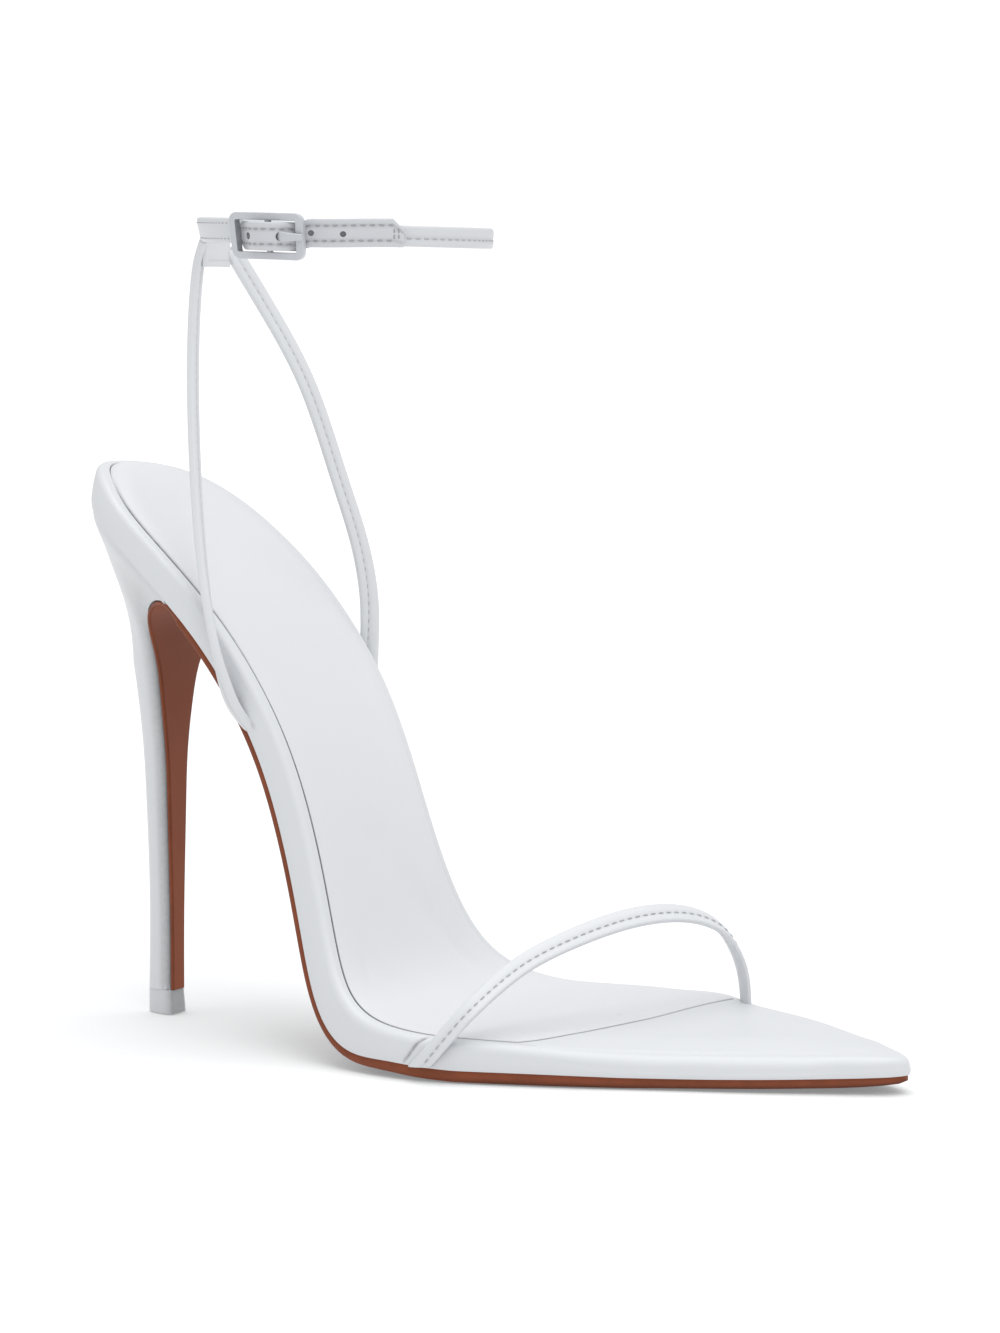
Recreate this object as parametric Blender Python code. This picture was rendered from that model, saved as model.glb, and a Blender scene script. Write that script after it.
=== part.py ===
"""Right-foot ankle strap sandal on a stiletto heel, one named object for each piece a maker joins.

Lengths are in millimetres and MM turns them into Blender's metres. The tables are laid out from the
middle of the heel tip on the floor: X runs to the toe, Y to the inner (medial) side, Z up. A parent
empty then carries every piece to the part's own origin, the middle of its box on the floor.
"""
import bpy
import bmesh
import numpy as np

MM = 0.001
GAP = 0.3                      # clearance between pieces that touch
KNOT_POWER = 0.6               # knots spread by chord length to this power keep curves from bulging
RUN_SAMPLES = 900              # fine steps that measure the length of a curve

# Driving sizes of the footbed and its sole
RIM_THICK = 6.4                # wrapped insole board
RIM_TOP_ROUND = 2.4            # rounded top edge of the rim
RIM_FOOT_ROUND = 0.7           # small rounding at its lower edge
SOLE_FOREFOOT = 2.6            # outsole leather under the forefoot
SOLE_WAIST = 1.3               # skived thinner along the waist
SOLE_BREAST = 0.8              # flap down the heel breast
SOLE_INSET = 0.8               # outsole edge inside the rim's edge
SKIVE_FROM, SKIVE_RUN = 66.0, 28.0  # where the outsole grows from waist to forefoot
FLAT_TOP = RIM_THICK + SOLE_FOREFOOT
BALL_SLANT = 0.19              # how far the ball line leans forward to the inner side
SLANT_RUN = 48.0               # length over which the slant grows, from the heel's front
SLANT_FADE_FROM, SLANT_FADE_RUN = 110.0, 40.0
SOCK_THICK = 1.5               # depth of the pocket that holds the sock
SOCK_CROWN = 0.9               # padding that stands over the rim
SOCK_EDGE = [
    # inset from the groove, depth under the footbed's top, how much less deep on the inner side
    (GAP, SOCK_THICK - GAP, 0.0), (GAP, 0.3, 0.5), (GAP + 0.5, -0.1, 0.6), (GAP + 2.5, -0.5, 0.4),
]
GROOVE_DEPTH = 0.25            # rounded lip of the rim beside the sock
RIM_TOP_SHARES = (0.3, 0.65)   # rings across the flat of the rim
RIM_TOP_ANGLES = (0, 30, 60, 90)

# Profile of the last along the middle of the footbed's top
LAST_PROFILE = [
    # x, z
    (-24, 126.8), (-16, 126.0), (-6, 123.6), (6, 116.2), (18, 106.7), (30, 95.0), (42, 79.4),
    (54, 58.6), (63, 38.2), (71, 22.0), (80, 13.4), (92, 10.1), (106, 9.0), (134, 9.0),
    (155, 9.5), (180, 10.4), (200, 11.6),
]

# Plan of the footbed: a row for each section
HEEL_BACK_X = -15.6
TOE_TIP = (186.4, 5.0)
TOE_ROUND = 2.4
TOE_TAPER = 1.0                # the rim grows thinner to the toe tip
TOE_TAPER_FROM, TOE_TAPER_RUN = 148.0, 36.0
TOE_BLUNT = 0.2                # width of the outsole's end against the row behind it
LAST_PLAN = [
    # x, lateral y, medial y, width of the lateral rim beside the sock, of the medial rim
    (-13, -8.0, 8.2, 3.0, 3.0), (-6, -16.4, 16.2, 3.0, 3.0), (4, -23.2, 22.8, 3.0, 3.0),
    (16, -25.9, 25.6, 3.0, 3.0), (30, -25.6, 26.0, 3.0, 3.0), (44, -24.0, 23.6, 3.1, 3.0),
    (58, -26.4, 18.0, 3.1, 3.0), (70, -33.6, 16.6, 3.1, 3.0), (82, -37.4, 23.6, 3.2, 3.2),
    (94, -37.2, 33.6, 3.2, 3.4), (108, -33.0, 40.2, 3.4, 3.6), (124, -26.8, 39.7, 4.0, 3.8),
    (142, -18.6, 32.2, 4.0, 4.0), (160, -10.8, 22.8, 4.0, 4.0), (174, -3.8, 14.3, 4.0, 4.0),
]
HEEL_RIM = 3.0
STEPS_PER_SECTION = 3
FILL_STEPS = 4

# Front edge of the sock, from the lateral to the medial groove
SOCK_FRONT = [
    # y, x
    (-36, 88.0), (-33, 99.0), (-31, 106.5), (-27.5, 111.5), (-19, 116.2), (-8, 119.4), (5, 122.0),
    (19, 123.9), (34, 125.4), (40, 126.2),
]

# Heel: D-shaped sections, flat breast to the front
TOP_PIECE_HEIGHT = 5.4
TOP_PIECE_STEPS = [
    # z, swell of the outline
    (0.0, 0.1), (0.4, 0.3), (TOP_PIECE_HEIGHT - 0.4, 0.2), (TOP_PIECE_HEIGHT, 0.0),
]
HEEL_SECTIONS = [
    # z, depth from the breast to the back
    (5.7, 6.9), (25, 6.7), (46, 7.4), (60, 8.5), (71, 9.6), (80.5, 10.7),
]
HEEL_NECK_Z = 80.5             # above it the sections tilt and flare into the heel seat
HEEL_SEAT_FRONT = 21.0         # where the heel's top ends, along the footbed
HEEL_LIP = 1.8                 # its thickness there
HEEL_SEAT_INSET = 0.5          # its edge inside the rim's edge
HEEL_BREAST_START = (21.9, 93.9)
HEEL_FLARE_RINGS = 9
HEEL_FLARE_POWER = 1.6         # how late the sections take the shape of the seat
HEEL_SHAFT_Z = (5.7, 52.0)     # six rings along the slender shaft, six more up to the neck
HEEL_SWELL_Z = (58.0, HEEL_NECK_Z)
HEEL_RINGS = 6
HEEL_BACK_POINTS = 22
HEEL_BREAST_POINTS = 3

# The outsole leaves the footbed here, turns in a cove and runs down the breast
SOLE_TURN_X = 27.0
COVE_END = 6                   # the cove is divided more finely down to this row
COVE_ROWS = 13
FLAP_INSET = 0.4
BREAST = [
    # x, z, half width of the heel's breast
    (19.2, 95.9, 24.4), (15.2, 96.7, 22.9), (11.0, 95.8, 20.0), (7.6, 93.2, 17.2), (5.6, 89.4, 14.2),
    (4.6, 85.4, 11.4), (3.8, 80.5, 8.6), (3.2, 71, 6.2), (3.0, 60, 4.5), (2.9, 46, 3.75),
    (2.8, 25, 2.95), (2.7, 5.7, 2.75),
]

# Straps
STRAP_WIDTH = 5.0
SLING_WIDTH = 4.3
STRAP_THICK = 2.0
TOE_STRAP_ROUTE = [
    # x, y, z, heading of the strap's width from -X towards -Y in degrees, its tilt up at the rear
    (93.0, -38.9, 3.4, 8, 0), (94.6, -39.2, 7.0, 8, 2), (97.0, -37.4, 11.8, 0, 8),
    (101.4, -30.0, 17.6, -14, 16), (106.6, -19.2, 23.3, -22, 20), (111.8, -8.6, 27.4, -26, 20),
    (116.8, 1.8, 30.2, -27, 20), (121.4, 11.4, 31.3, -27, 20), (125.6, 20.2, 30.4, -27, 20),
    (128.8, 26.8, 27.2, -27, 18), (130.8, 31.0, 21.8, -27, 12), (131.8, 33.2, 15.4, -27, 6),
    (132.0, 33.9, 9.4, -27, 0),
]
SLING_LATERAL_ROUTE = [
    # x, y, z, turn of the outer face from straight back to sideways, degrees
    (17.8, -4.6, 174.0, 16), (15.6, -8.2, 166.8, 24), (18.0, -13.5, 149.5, 30),
    (22.4, -19.2, 130.8, 34), (26.6, -23.8, 112.9, 38), (29.9, -26.9, 99.0, 45),
    (32.4, -28.3, 88.5, 60), (34.8, -28.3, 81.0, 72), (37.6, -27.0, 75.0, 82), (39.8, -25.7, 71.2, 88),
]
SLING_MEDIAL_ROUTE = [
    # x, y, z, turn of the outer face from straight back to sideways, degrees
    (17.8, 2.4, 173.6, 6), (21.5, 8.8, 162.4, 12), (26.0, 12.9, 151.8, 14), (29.9, 16.5, 140.2, 16),
    (33.9, 21.3, 121.8, 18), (36.2, 24.5, 110.0, 22), (37.3, 27.1, 99.0, 32), (37.6, 28.8, 89.0, 48),
    (38.4, 29.0, 80.0, 66), (40.6, 27.5, 73.0, 80), (43.0, 25.4, 68.0, 86),
]
STRAP_STATIONS = 34
STRAP_SIDES = 8
STRAP_SQUARE = 0.7             # 1 gives an oval section, less a squarer one

# Ankle loop: an ellipse in plan, leaning slightly down to the front
LOOP_CENTRE_X = 49.8
LOOP_HALF_LENGTH = 34.4
LOOP_HALF_WIDTH = 28.4
LOOP_BACK_Z = 178.1
LOOP_LEAN = 0.020              # fall for each millimetre forward
LOOP_ROLL = 0.028              # fall for each millimetre to the inner side
LOOP_FLARE = 0.14              # how far the strap leans out at the back for each millimetre up
BUCKLE_ANGLE = 90.3            # degrees round the loop from its back to the buckle's bar
NARROW_WIDTH = 4.5
CHAPE_WIDTH = 5.5
ANKLE_THICK = 1.8
SKIVED_THICK = 0.8
SKIVE_STATIONS = 6             # the strap thins over this many stations before the bar
CHAPE_FROM, CHAPE_RUN = 30.0, 20.0  # it widens to the chape this far before the loop's back
ANKLE_STATIONS = 50
CHAPE_STATIONS = 28
BILLET_WIDTH = 6.1
BILLET_THICK = 1.2
BILLET_OUT = 1.8               # the billet's middle outside the strap it is sewn to
SEWN_END = 28.5                # along the loop from the bar, forward
STRAP_UNDER_BILLET = 19.0
BILLET_TIP = -8.9
BILLET_TIP_ROUND = 2.5
BILLET_TIP_BLUNT = 0.1
BILLET_STATIONS = 44

# Buckle: sides, rails and bar, with places along the loop and out from it
BUCKLE_HALF_LENGTH = 7.75
BUCKLE_HALF_HEIGHT = 4.2
BUCKLE_DROP = 0.9              # how far its weight pulls the straps down
BUCKLE_DIP = 9.0               # half the length of the dip it makes
BUCKLE_CORNER = 1.1
FRAME_WIDTH = 1.7
FRAME_THICK = 1.7
FRAME_SIDES = 8
FRAME_FULLNESS = 1.06          # corners of the eight-sided section stand out of the round one
RAIL_STATIONS = 9
BAR_OUT = 1.5
BAR_RADIUS = 0.7
SIDE_OUT_FRONT = 2.55
SIDE_OUT_BACK = 2.8
PRONG_RADIUS = 0.5
PRONG_EYE = 1.55
PRONG_EYE_TURN = (-35, -290)   # degrees round the bar
PRONG_EYE_POINTS = 13
PRONG_STATIONS = 40
PRONG_TAPER_STATIONS = 8
PRONG_TIP = 0.55               # its end against its full thickness
HOLE_PITCH = 6.8
PRONG_HOLE_AT = 3.2
PRONG_HOLE_RADIUS = 1.4
HOLE_RADIUS = 0.75
HOLE_SIDES = 12
HOLE_REACH = (-1.5, 6.0)       # out from the loop, the punch's ends
HOLE_ROW = (-1, 0, 1, 2)       # places of the holes in pitches, the prong's own at 0
SLOT_ALONG = (-2.4, 3.2)       # slot in the chape that lets the prong turn on the bar
SLOT_OUT = (-3.5, 4.0)
SLOT_HALF_HEIGHT = 1.0
BILLET_ROUTE = [
    # along, out
    (SEWN_END, BILLET_OUT), (22, BILLET_OUT), (17, 1.5), (12, 0.8), (BUCKLE_HALF_LENGTH, 0.75),
    (5.4, 2.1), (3, 3.6), (0, 4.5), (-3, 3.6), (-5.2, 2.1), (-6.9, 1.25), (BILLET_TIP, 0.95),
]
CHAPE_ROUTE = [
    # along, out: the strap's end, over the bar, round it and back underneath
    (-16, 0.0), (-12, -0.1), (-8, -0.3), (-5, 0.35), (-2.7, 1.9), (-1.1, 2.85), (0, 3.05), (1.1, 2.6),
    (1.55, 1.5), (1.1, 0.4), (0, -0.05), (-1.9, -0.65), (-4.8, -1.25),
]
PRONG_ROUTE = [
    # along, out: from the eye, up through the hole and on to the frame's front side
    (1.6, 2.75), (2.4, 2.95), (3.1, 3.7), (4.0, 4.45), (5.8, 4.7), (8.7, 4.3),
]

# Tab inside the back of the ankle strap, where both legs of the sling are sewn on
TAB_ENDS = (-2.0, 7.0)         # along the loop from its back
TAB_THICK = 1.4
TAB_TOP = 2.2                  # up from the strap's middle
TAB_FOOT = -8.0
TAB_STATIONS = 7

WHITE_LEATHER = ((0.80, 0.81, 0.82), 0.38, 0.0)
SOCK_LEATHER = ((0.79, 0.79, 0.81), 0.48, 0.0)
BROWN_LEATHER = ((0.20, 0.078, 0.043), 0.42, 0.0)
GREY_PLASTIC = ((0.66, 0.68, 0.70), 0.45, 0.0)
PAINTED_METAL = ((0.72, 0.74, 0.77), 0.30, 0.2)


class SmoothCurve:
    """Cubic curve with matching bends through given points, open or closed."""

    def __init__(self, points, knots=None, closed=False):
        points = np.asarray(points, float)
        points = points[:, None] if points.ndim == 1 else points
        if closed:
            points = np.vstack([points, points[:1]])
        if knots is None:
            strides = np.linalg.norm(np.diff(points, axis=0), axis=1) ** KNOT_POWER
            knots = np.concatenate([[0.0], np.cumsum(strides)])
        self.points, self.knots = points, np.asarray(knots, float)
        self.steps = np.diff(self.knots)
        self.tangents = self._tangents(closed)

    def _tangents(self, closed):
        """Tangents that give equal second derivatives on both sides of every point."""
        count, step = len(self.points), self.steps
        rise = np.diff(self.points, axis=0) / step[:, None]
        rows = np.zeros((count, count))
        right = np.zeros_like(self.points)
        for i in range(1, count - 1):
            rows[i, i - 1:i + 2] = step[i], 2 * (step[i - 1] + step[i]), step[i - 1]
            right[i] = 3 * (step[i] * rise[i - 1] + step[i - 1] * rise[i])
        if closed:
            rows[0, 0], rows[0, -1] = 1, -1
            rows[-1, [0, 1, -2]] = 2 * (step[-1] + step[0]), step[-1], step[0]
            right[-1] = 3 * (step[0] * rise[-1] + step[-1] * rise[0])
        else:
            rows[0, :2], rows[-1, -2:] = (2, 1), (1, 2)
            right[0], right[-1] = 3 * rise[0], 3 * rise[-1]
        return np.linalg.solve(rows, right)

    def _pieces(self, t):
        t = np.clip(np.asarray(t, float), self.knots[0], self.knots[-1])
        k = np.clip(np.searchsorted(self.knots, t, side="right") - 1, 0, len(self.steps) - 1)
        h = self.steps[k][..., None]
        u = (t - self.knots[k])[..., None] / h
        return h, u, self.points[k], self.points[k + 1], self.tangents[k], self.tangents[k + 1]

    def at(self, t):
        """Points of the curve at the knot values t."""
        h, u, p, q, m, n = self._pieces(t)
        return ((2 * u**3 - 3 * u**2 + 1) * p + (u**3 - 2 * u**2 + u) * h * m
                + (3 * u**2 - 2 * u**3) * q + (u**3 - u**2) * h * n)

    def slope(self, t):
        """Derivatives of the curve at the knot values t."""
        h, u, p, q, m, n = self._pieces(t)
        return ((6 * u**2 - 6 * u) * (p - q) / h + (3 * u**2 - 4 * u + 1) * m + (3 * u**2 - 2 * u) * n)

    def spread(self, count):
        """Evenly spread knot values from the first point to the last."""
        return np.linspace(self.knots[0], self.knots[-1], count)


def ease(t):
    """Smooth step from 0 to 1."""
    t = np.clip(t, 0.0, 1.0)
    return t * t * (3 - 2 * t)


def unit(vectors):
    """Vectors scaled to length 1."""
    return vectors / np.linalg.norm(vectors, axis=-1, keepdims=True)


class Last:
    """The surface that the footbed's top follows, and its plan outline."""

    def __init__(self):
        table = np.array(LAST_PROFILE, float)
        self.profile = SmoothCurve(table[:, 1], knots=table[:, 0])
        self.run_x = np.linspace(table[0, 0], table[-1, 0], RUN_SAMPLES)
        heights = self.profile.at(self.run_x)[:, 0]
        strides = np.hypot(np.diff(self.run_x), np.diff(heights))
        self.run = np.concatenate([[0.0], np.cumsum(strides)])
        self.plan, self.rim = self._plan()
        self.half = len(self.plan) // 2

    def _plan(self):
        """Closed outline in plan, from the heel's back by the lateral side and toe, and its rim widths."""
        rows = np.array(LAST_PLAN, float)
        tip_x, tip_y = TOE_TIP
        shoulder = tip_x - TOE_ROUND / 2
        toe = [(shoulder, tip_y - TOE_ROUND), TOE_TIP, (shoulder, tip_y + TOE_ROUND)]
        points = np.vstack([[(HEEL_BACK_X, 0.0)], rows[:, [0, 1]], toe, rows[::-1, [0, 2]]])
        curve = SmoothCurve(points, closed=True)
        toe_rim = rows[-1, [3, 3, 4]]
        rim = np.concatenate([[HEEL_RIM], rows[:, 3], toe_rim, rows[::-1, 4], [HEEL_RIM]])
        share = np.arange(STEPS_PER_SECTION) / STEPS_PER_SECTION
        knots = (curve.knots[:-1, None] + curve.steps[:, None] * share).ravel()
        return curve.at(knots), np.interp(knots, curve.knots, rim)

    def inset(self, distance):
        """Plan outline moved inwards by a distance measured on the unrolled surface."""
        flat = np.stack([np.interp(self.plan[:, 0], self.run_x, self.run), self.plan[:, 1]], -1)
        along = np.roll(flat, -1, axis=0) - np.roll(flat, 1, axis=0)
        outward = unit(np.stack([along[:, 1], -along[:, 0]], -1))
        flat = flat - np.reshape(distance, (-1, 1)) * outward
        return np.stack([np.interp(flat[:, 0], self.run, self.run_x), flat[:, 1]], -1)

    def surface(self, plan, down):
        """Points a given depth under the top surface, square to its slope along the shoe."""
        x, y = plan[..., 0], plan[..., 1]
        slant = BALL_SLANT * ease((x - SOLE_TURN_X) / SLANT_RUN)
        slant = slant * (1 - ease((x - SLANT_FADE_FROM) / SLANT_FADE_RUN))
        place = x - slant * y
        z = self.profile.at(place)[..., 0]
        slope = np.where(z > FLAT_TOP, self.profile.slope(place)[..., 0], 0.0)
        z = np.maximum(z, FLAT_TOP)
        length = np.sqrt(1 + slope**2)
        return np.stack([x + down * slope / length, y, z - down / length], -1)

    def toe_taper(self, plan):
        """How much lower the rim's top lies towards the toe tip."""
        return TOE_TAPER * ease((plan[:, 0] - TOE_TAPER_FROM) / TOE_TAPER_RUN)

    def sock(self, extra):
        """Plan outline of the sock: the groove's inset, cut off behind the toes by its front edge."""
        ring = self.inset(self.rim + extra)
        table = np.array(SOCK_FRONT, float)
        front = SmoothCurve(table[:, 1], knots=table[:, 0])
        beyond = np.flatnonzero(ring[:, 0] > front.at(ring[:, 1])[:, 0] - extra)
        first, last = beyond[0], beyond[-1]
        y = np.linspace(ring[first, 1], ring[last, 1], last - first + 1)
        ring[first:last + 1] = np.stack([front.at(y)[:, 0] - extra, y], -1)
        return ring


class Shell:
    """Vertices and faces of one closed piece, gathered ring by ring."""

    def __init__(self):
        self.points, self.faces = [], []

    def ring(self, points):
        """Adds points and returns their indices."""
        start = len(self.points)
        self.points.extend(points)
        return np.arange(start, start + len(points))

    def bridge(self, first, second):
        """Quads from one ring to the next ring of as many points."""
        for i in range(len(first)):
            j = (i + 1) % len(first)
            self.faces.append((first[i], first[j], second[j], second[i]))

    def fill(self, ring, plan, place, flip):
        """Fills a long outline with rows from side to side that follow the surface."""
        half = len(ring) // 2
        rows = []
        for i in range(1, half):
            share = np.linspace(0, 1, FILL_STEPS + 1)[1:-1, None]
            middle = self.ring(place(plan[i] * (1 - share) + plan[-i] * share))
            rows.append(np.concatenate([[ring[i]], middle, [ring[-i]]]))
        new = [(ring[0], rows[0][k], rows[0][k + 1]) for k in range(FILL_STEPS)]
        for a, b in zip(rows, rows[1:]):
            new += [(a[k], b[k], b[k + 1], a[k + 1]) for k in range(FILL_STEPS)]
        new += [(rows[-1][k], ring[half], rows[-1][k + 1]) for k in range(FILL_STEPS)]
        self.faces += [face[::-1] for face in new] if flip else new

    def build(self, name, finish, smooth_angle=40):
        """Makes the object, faces turned outwards."""
        mesh = bpy.data.meshes.new(name)
        faces = [tuple(int(i) for i in face) for face in self.faces]
        mesh.from_pydata([tuple(p) for p in np.asarray(self.points) * MM], [], faces)
        work = bmesh.new()
        work.from_mesh(mesh)
        bmesh.ops.recalc_face_normals(work, faces=work.faces)
        work.to_mesh(mesh)
        work.free()
        mesh.shade_smooth()
        mesh.set_sharp_from_angle(angle=np.radians(smooth_angle))
        piece = bpy.data.objects.new(name, mesh)
        bpy.context.scene.collection.objects.link(piece)
        mesh.materials.append(material(name, *finish))
        return piece


def material(name, colour, roughness, metallic):
    """Principled material in the piece's own colour."""
    finish = bpy.data.materials.new(name)
    finish.use_nodes = True
    shader = finish.node_tree.nodes["Principled BSDF"]
    shader.inputs["Base Color"].default_value = (*colour, 1.0)
    shader.inputs["Roughness"].default_value = roughness
    shader.inputs["Metallic"].default_value = metallic
    return finish


def strap_section():
    """Rounded section of a folded strap, one unit wide and one thick."""
    angle = 2 * np.pi * (np.arange(STRAP_SIDES) + 0.5) / STRAP_SIDES
    across, through = np.cos(angle), np.sin(angle)
    across = np.sign(across) * np.abs(across)**STRAP_SQUARE
    through = np.sign(through) * np.abs(through)**STRAP_SQUARE
    return np.stack([across, through], -1) / 2


def sweep(name, finish, centre, across, out, width, thick, section):
    """Carries a section along a path, with its own width, thickness and directions at each station."""
    shell = Shell()
    width = np.broadcast_to(width, len(centre))
    thick = np.broadcast_to(thick, len(centre))
    rings = []
    for i, middle in enumerate(centre):
        offset = section[:, :1] * width[i] * across[i] + section[:, 1:] * thick[i] * out[i]
        rings.append(shell.ring(middle + offset))
    for a, b in zip(rings, rings[1:]):
        shell.bridge(a, b)
    shell.faces.append(tuple(rings[0][::-1]))
    shell.faces.append(tuple(rings[-1]))
    return shell.build(name, finish)


def round_section(sides=10):
    """Circle one unit across."""
    angle = 2 * np.pi * np.arange(sides) / sides
    return np.stack([np.cos(angle), np.sin(angle)], -1) / 2


def make_footbed(last):
    """Insole board wrapped in leather: rounded rim, pocket for the sock, shaped underside."""
    shell = Shell()
    taper = last.toe_taper(last.plan)
    foot = [(RIM_FOOT_ROUND, RIM_THICK), (0.0, RIM_THICK - RIM_FOOT_ROUND)]
    rings = [shell.ring(last.surface(last.inset(inset), down)) for inset, down in foot]
    rounding = RIM_TOP_ROUND + TOE_TAPER * taper
    for angle in np.radians(RIM_TOP_ANGLES):
        plan = last.inset(rounding * (1 - np.cos(angle)))
        rings.append(shell.ring(last.surface(plan, rounding * (1 - np.sin(angle)) + taper)))
    rim, sock = last.inset(rounding), last.sock(0.0)
    for share in RIM_TOP_SHARES:
        plan = rim * (1 - share) + sock * share
        rings.append(shell.ring(last.surface(plan, last.toe_taper(plan))))
    rings.append(shell.ring(last.surface(sock, GROOVE_DEPTH)))
    rings.append(shell.ring(last.surface(sock, SOCK_THICK)))
    for a, b in zip(rings, rings[1:]):
        shell.bridge(a, b)
    shell.fill(rings[0], last.inset(RIM_FOOT_ROUND), lambda p: last.surface(p, RIM_THICK), True)
    shell.fill(rings[-1], sock, lambda p: last.surface(p, SOCK_THICK), False)
    return shell.build("footbed", WHITE_LEATHER)


def make_insole(last):
    """Padded sock that lies in the footbed's pocket, its top crowned and fuller on the inner side."""
    shell = Shell()
    side = last.plan[:, 1] / np.abs(last.plan[:, 1]).max()
    inner = (1 + np.clip(side * 2, -1, 1)) / 2
    plans, rings = [], []
    for inset, down, fuller in SOCK_EDGE:
        plans.append(last.sock(inset))
        rings.append(shell.ring(last.surface(plans[-1], down - fuller * inner)))
    for a, b in zip(rings, rings[1:]):
        shell.bridge(a, b)
    shell.fill(rings[0], plans[0], lambda p: last.surface(p, SOCK_THICK - GAP), True)
    shell.fill(rings[-1], plans[-1], lambda p: last.surface(p, -SOCK_CROWN), False)
    return shell.build("insole", SOCK_LEATHER)


def sole_rows(last):
    """Rows across the outsole, upper and lower face, from the toe to the heel tip."""
    ring = last.inset(SOLE_INSET)
    share = np.linspace(0, 1, FILL_STEPS + 1)
    places = np.arange(last.half - 1, 0, -1)
    sides = np.stack([ring[places], ring[-places]], 1)
    sides = sides[sides[:, :, 0].min(axis=1) > SOLE_TURN_X]
    tip = ring[last.half] + TOE_BLUNT * (sides[0] - ring[last.half])
    sides = np.concatenate([tip[None], sides])
    plan = sides[:, :1] * (1 - share[:, None]) + sides[:, 1:] * share[:, None]
    thick = SOLE_WAIST + (SOLE_FOREFOOT - SOLE_WAIST) * ease((plan[..., 0] - SKIVE_FROM) / SKIVE_RUN)
    upper = last.surface(plan, RIM_THICK + GAP)
    lower = last.surface(plan, RIM_THICK + thick)
    start = upper[-1, FILL_STEPS // 2, [0, 2]]
    path, half_width = breast_path(start, -sides[-1, 0, 1])
    cove = np.linspace(path.knots[0], path.knots[COVE_END], COVE_ROWS)
    t = np.concatenate([cove[1:], path.knots[COVE_END + 1:]])
    middle, face = path.at(t), breast_face(path, t)
    y = (half_width.at(t) - FLAP_INSET) * (2 * share - 1)
    spread = np.ones_like(y)
    back = np.stack([middle[:, :1] * spread, y, middle[:, 1:] * spread], -1)
    return np.concatenate([upper, back]), np.concatenate([lower, back + face[:, None] * SOLE_BREAST])


def breast_path(start, half_width):
    """Curve in the middle plane from the footbed's underside down the breast, and its half widths."""
    rows = np.array(BREAST, float)
    path = SmoothCurve(np.vstack([start, rows[:, :2]]))
    return path, SmoothCurve(np.concatenate([[half_width], rows[:, 2]]), knots=path.knots)


def breast_face(path, t):
    """Directions square to the breast, out of the heel."""
    along = unit(path.slope(t))
    return np.stack([-along[:, 1], np.zeros(len(t)), along[:, 0]], -1)


def make_outsole(last):
    """Leather sheet under the footbed, turned down the heel breast to the top piece."""
    shell = Shell()
    upper, lower = sole_rows(last)
    loops = [shell.ring(np.concatenate([a, b[::-1]])) for a, b in zip(upper, lower)]
    for a, b in zip(loops, loops[1:]):
        shell.bridge(a, b)
    count = FILL_STEPS + 1
    for loop in (loops[0], loops[-1]):
        for k in range(FILL_STEPS):
            shell.faces.append((loop[k], loop[k + 1], loop[2 * count - 2 - k], loop[2 * count - 1 - k]))
    return shell.build("outsole", BROWN_LEATHER)


def heel_section(z, breast_x, half_width, depth):
    """D-shaped section: a half ellipse round the back, closed by a flat breast."""
    angle = np.linspace(0, np.pi, HEEL_BACK_POINTS)
    back = np.stack([breast_x - depth * np.sin(angle), -half_width * np.cos(angle)], -1)
    breast_y = np.linspace(half_width, -half_width, HEEL_BREAST_POINTS + 2)[1:-1]
    breast = np.stack([np.full(HEEL_BREAST_POINTS, breast_x), breast_y], -1)
    plan = np.concatenate([back, breast])
    return np.column_stack([plan, np.full(len(plan), z)])


def heel_seat(last):
    """Top section of the heel, on the underside of the footbed, in the order of heel_section."""
    ring = last.inset(HEEL_SEAT_INSET)
    corners = []
    for side in (ring[:last.half], np.roll(ring, -last.half, axis=0)[::-1][:last.half]):
        corners.append([HEEL_SEAT_FRONT, np.interp(HEEL_SEAT_FRONT, side[:, 0], side[:, 1])])
    ring = np.roll(ring, last.half, axis=0)[::-1]
    seat = np.vstack([corners[0], ring[ring[:, 0] < HEEL_SEAT_FRONT], corners[1]])
    run = np.concatenate([[0.0], np.cumsum(np.linalg.norm(np.diff(seat, axis=0), axis=1))])
    place = np.linspace(0, run[-1], HEEL_BACK_POINTS)
    back = np.stack([np.interp(place, run, seat[:, k]) for k in (0, 1)], -1)
    share = np.linspace(0, 1, HEEL_BREAST_POINTS + 2)[1:-1, None]
    breast = back[-1] * (1 - share) + back[0] * share
    return last.surface(np.concatenate([back, breast]), RIM_THICK + GAP)


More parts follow.
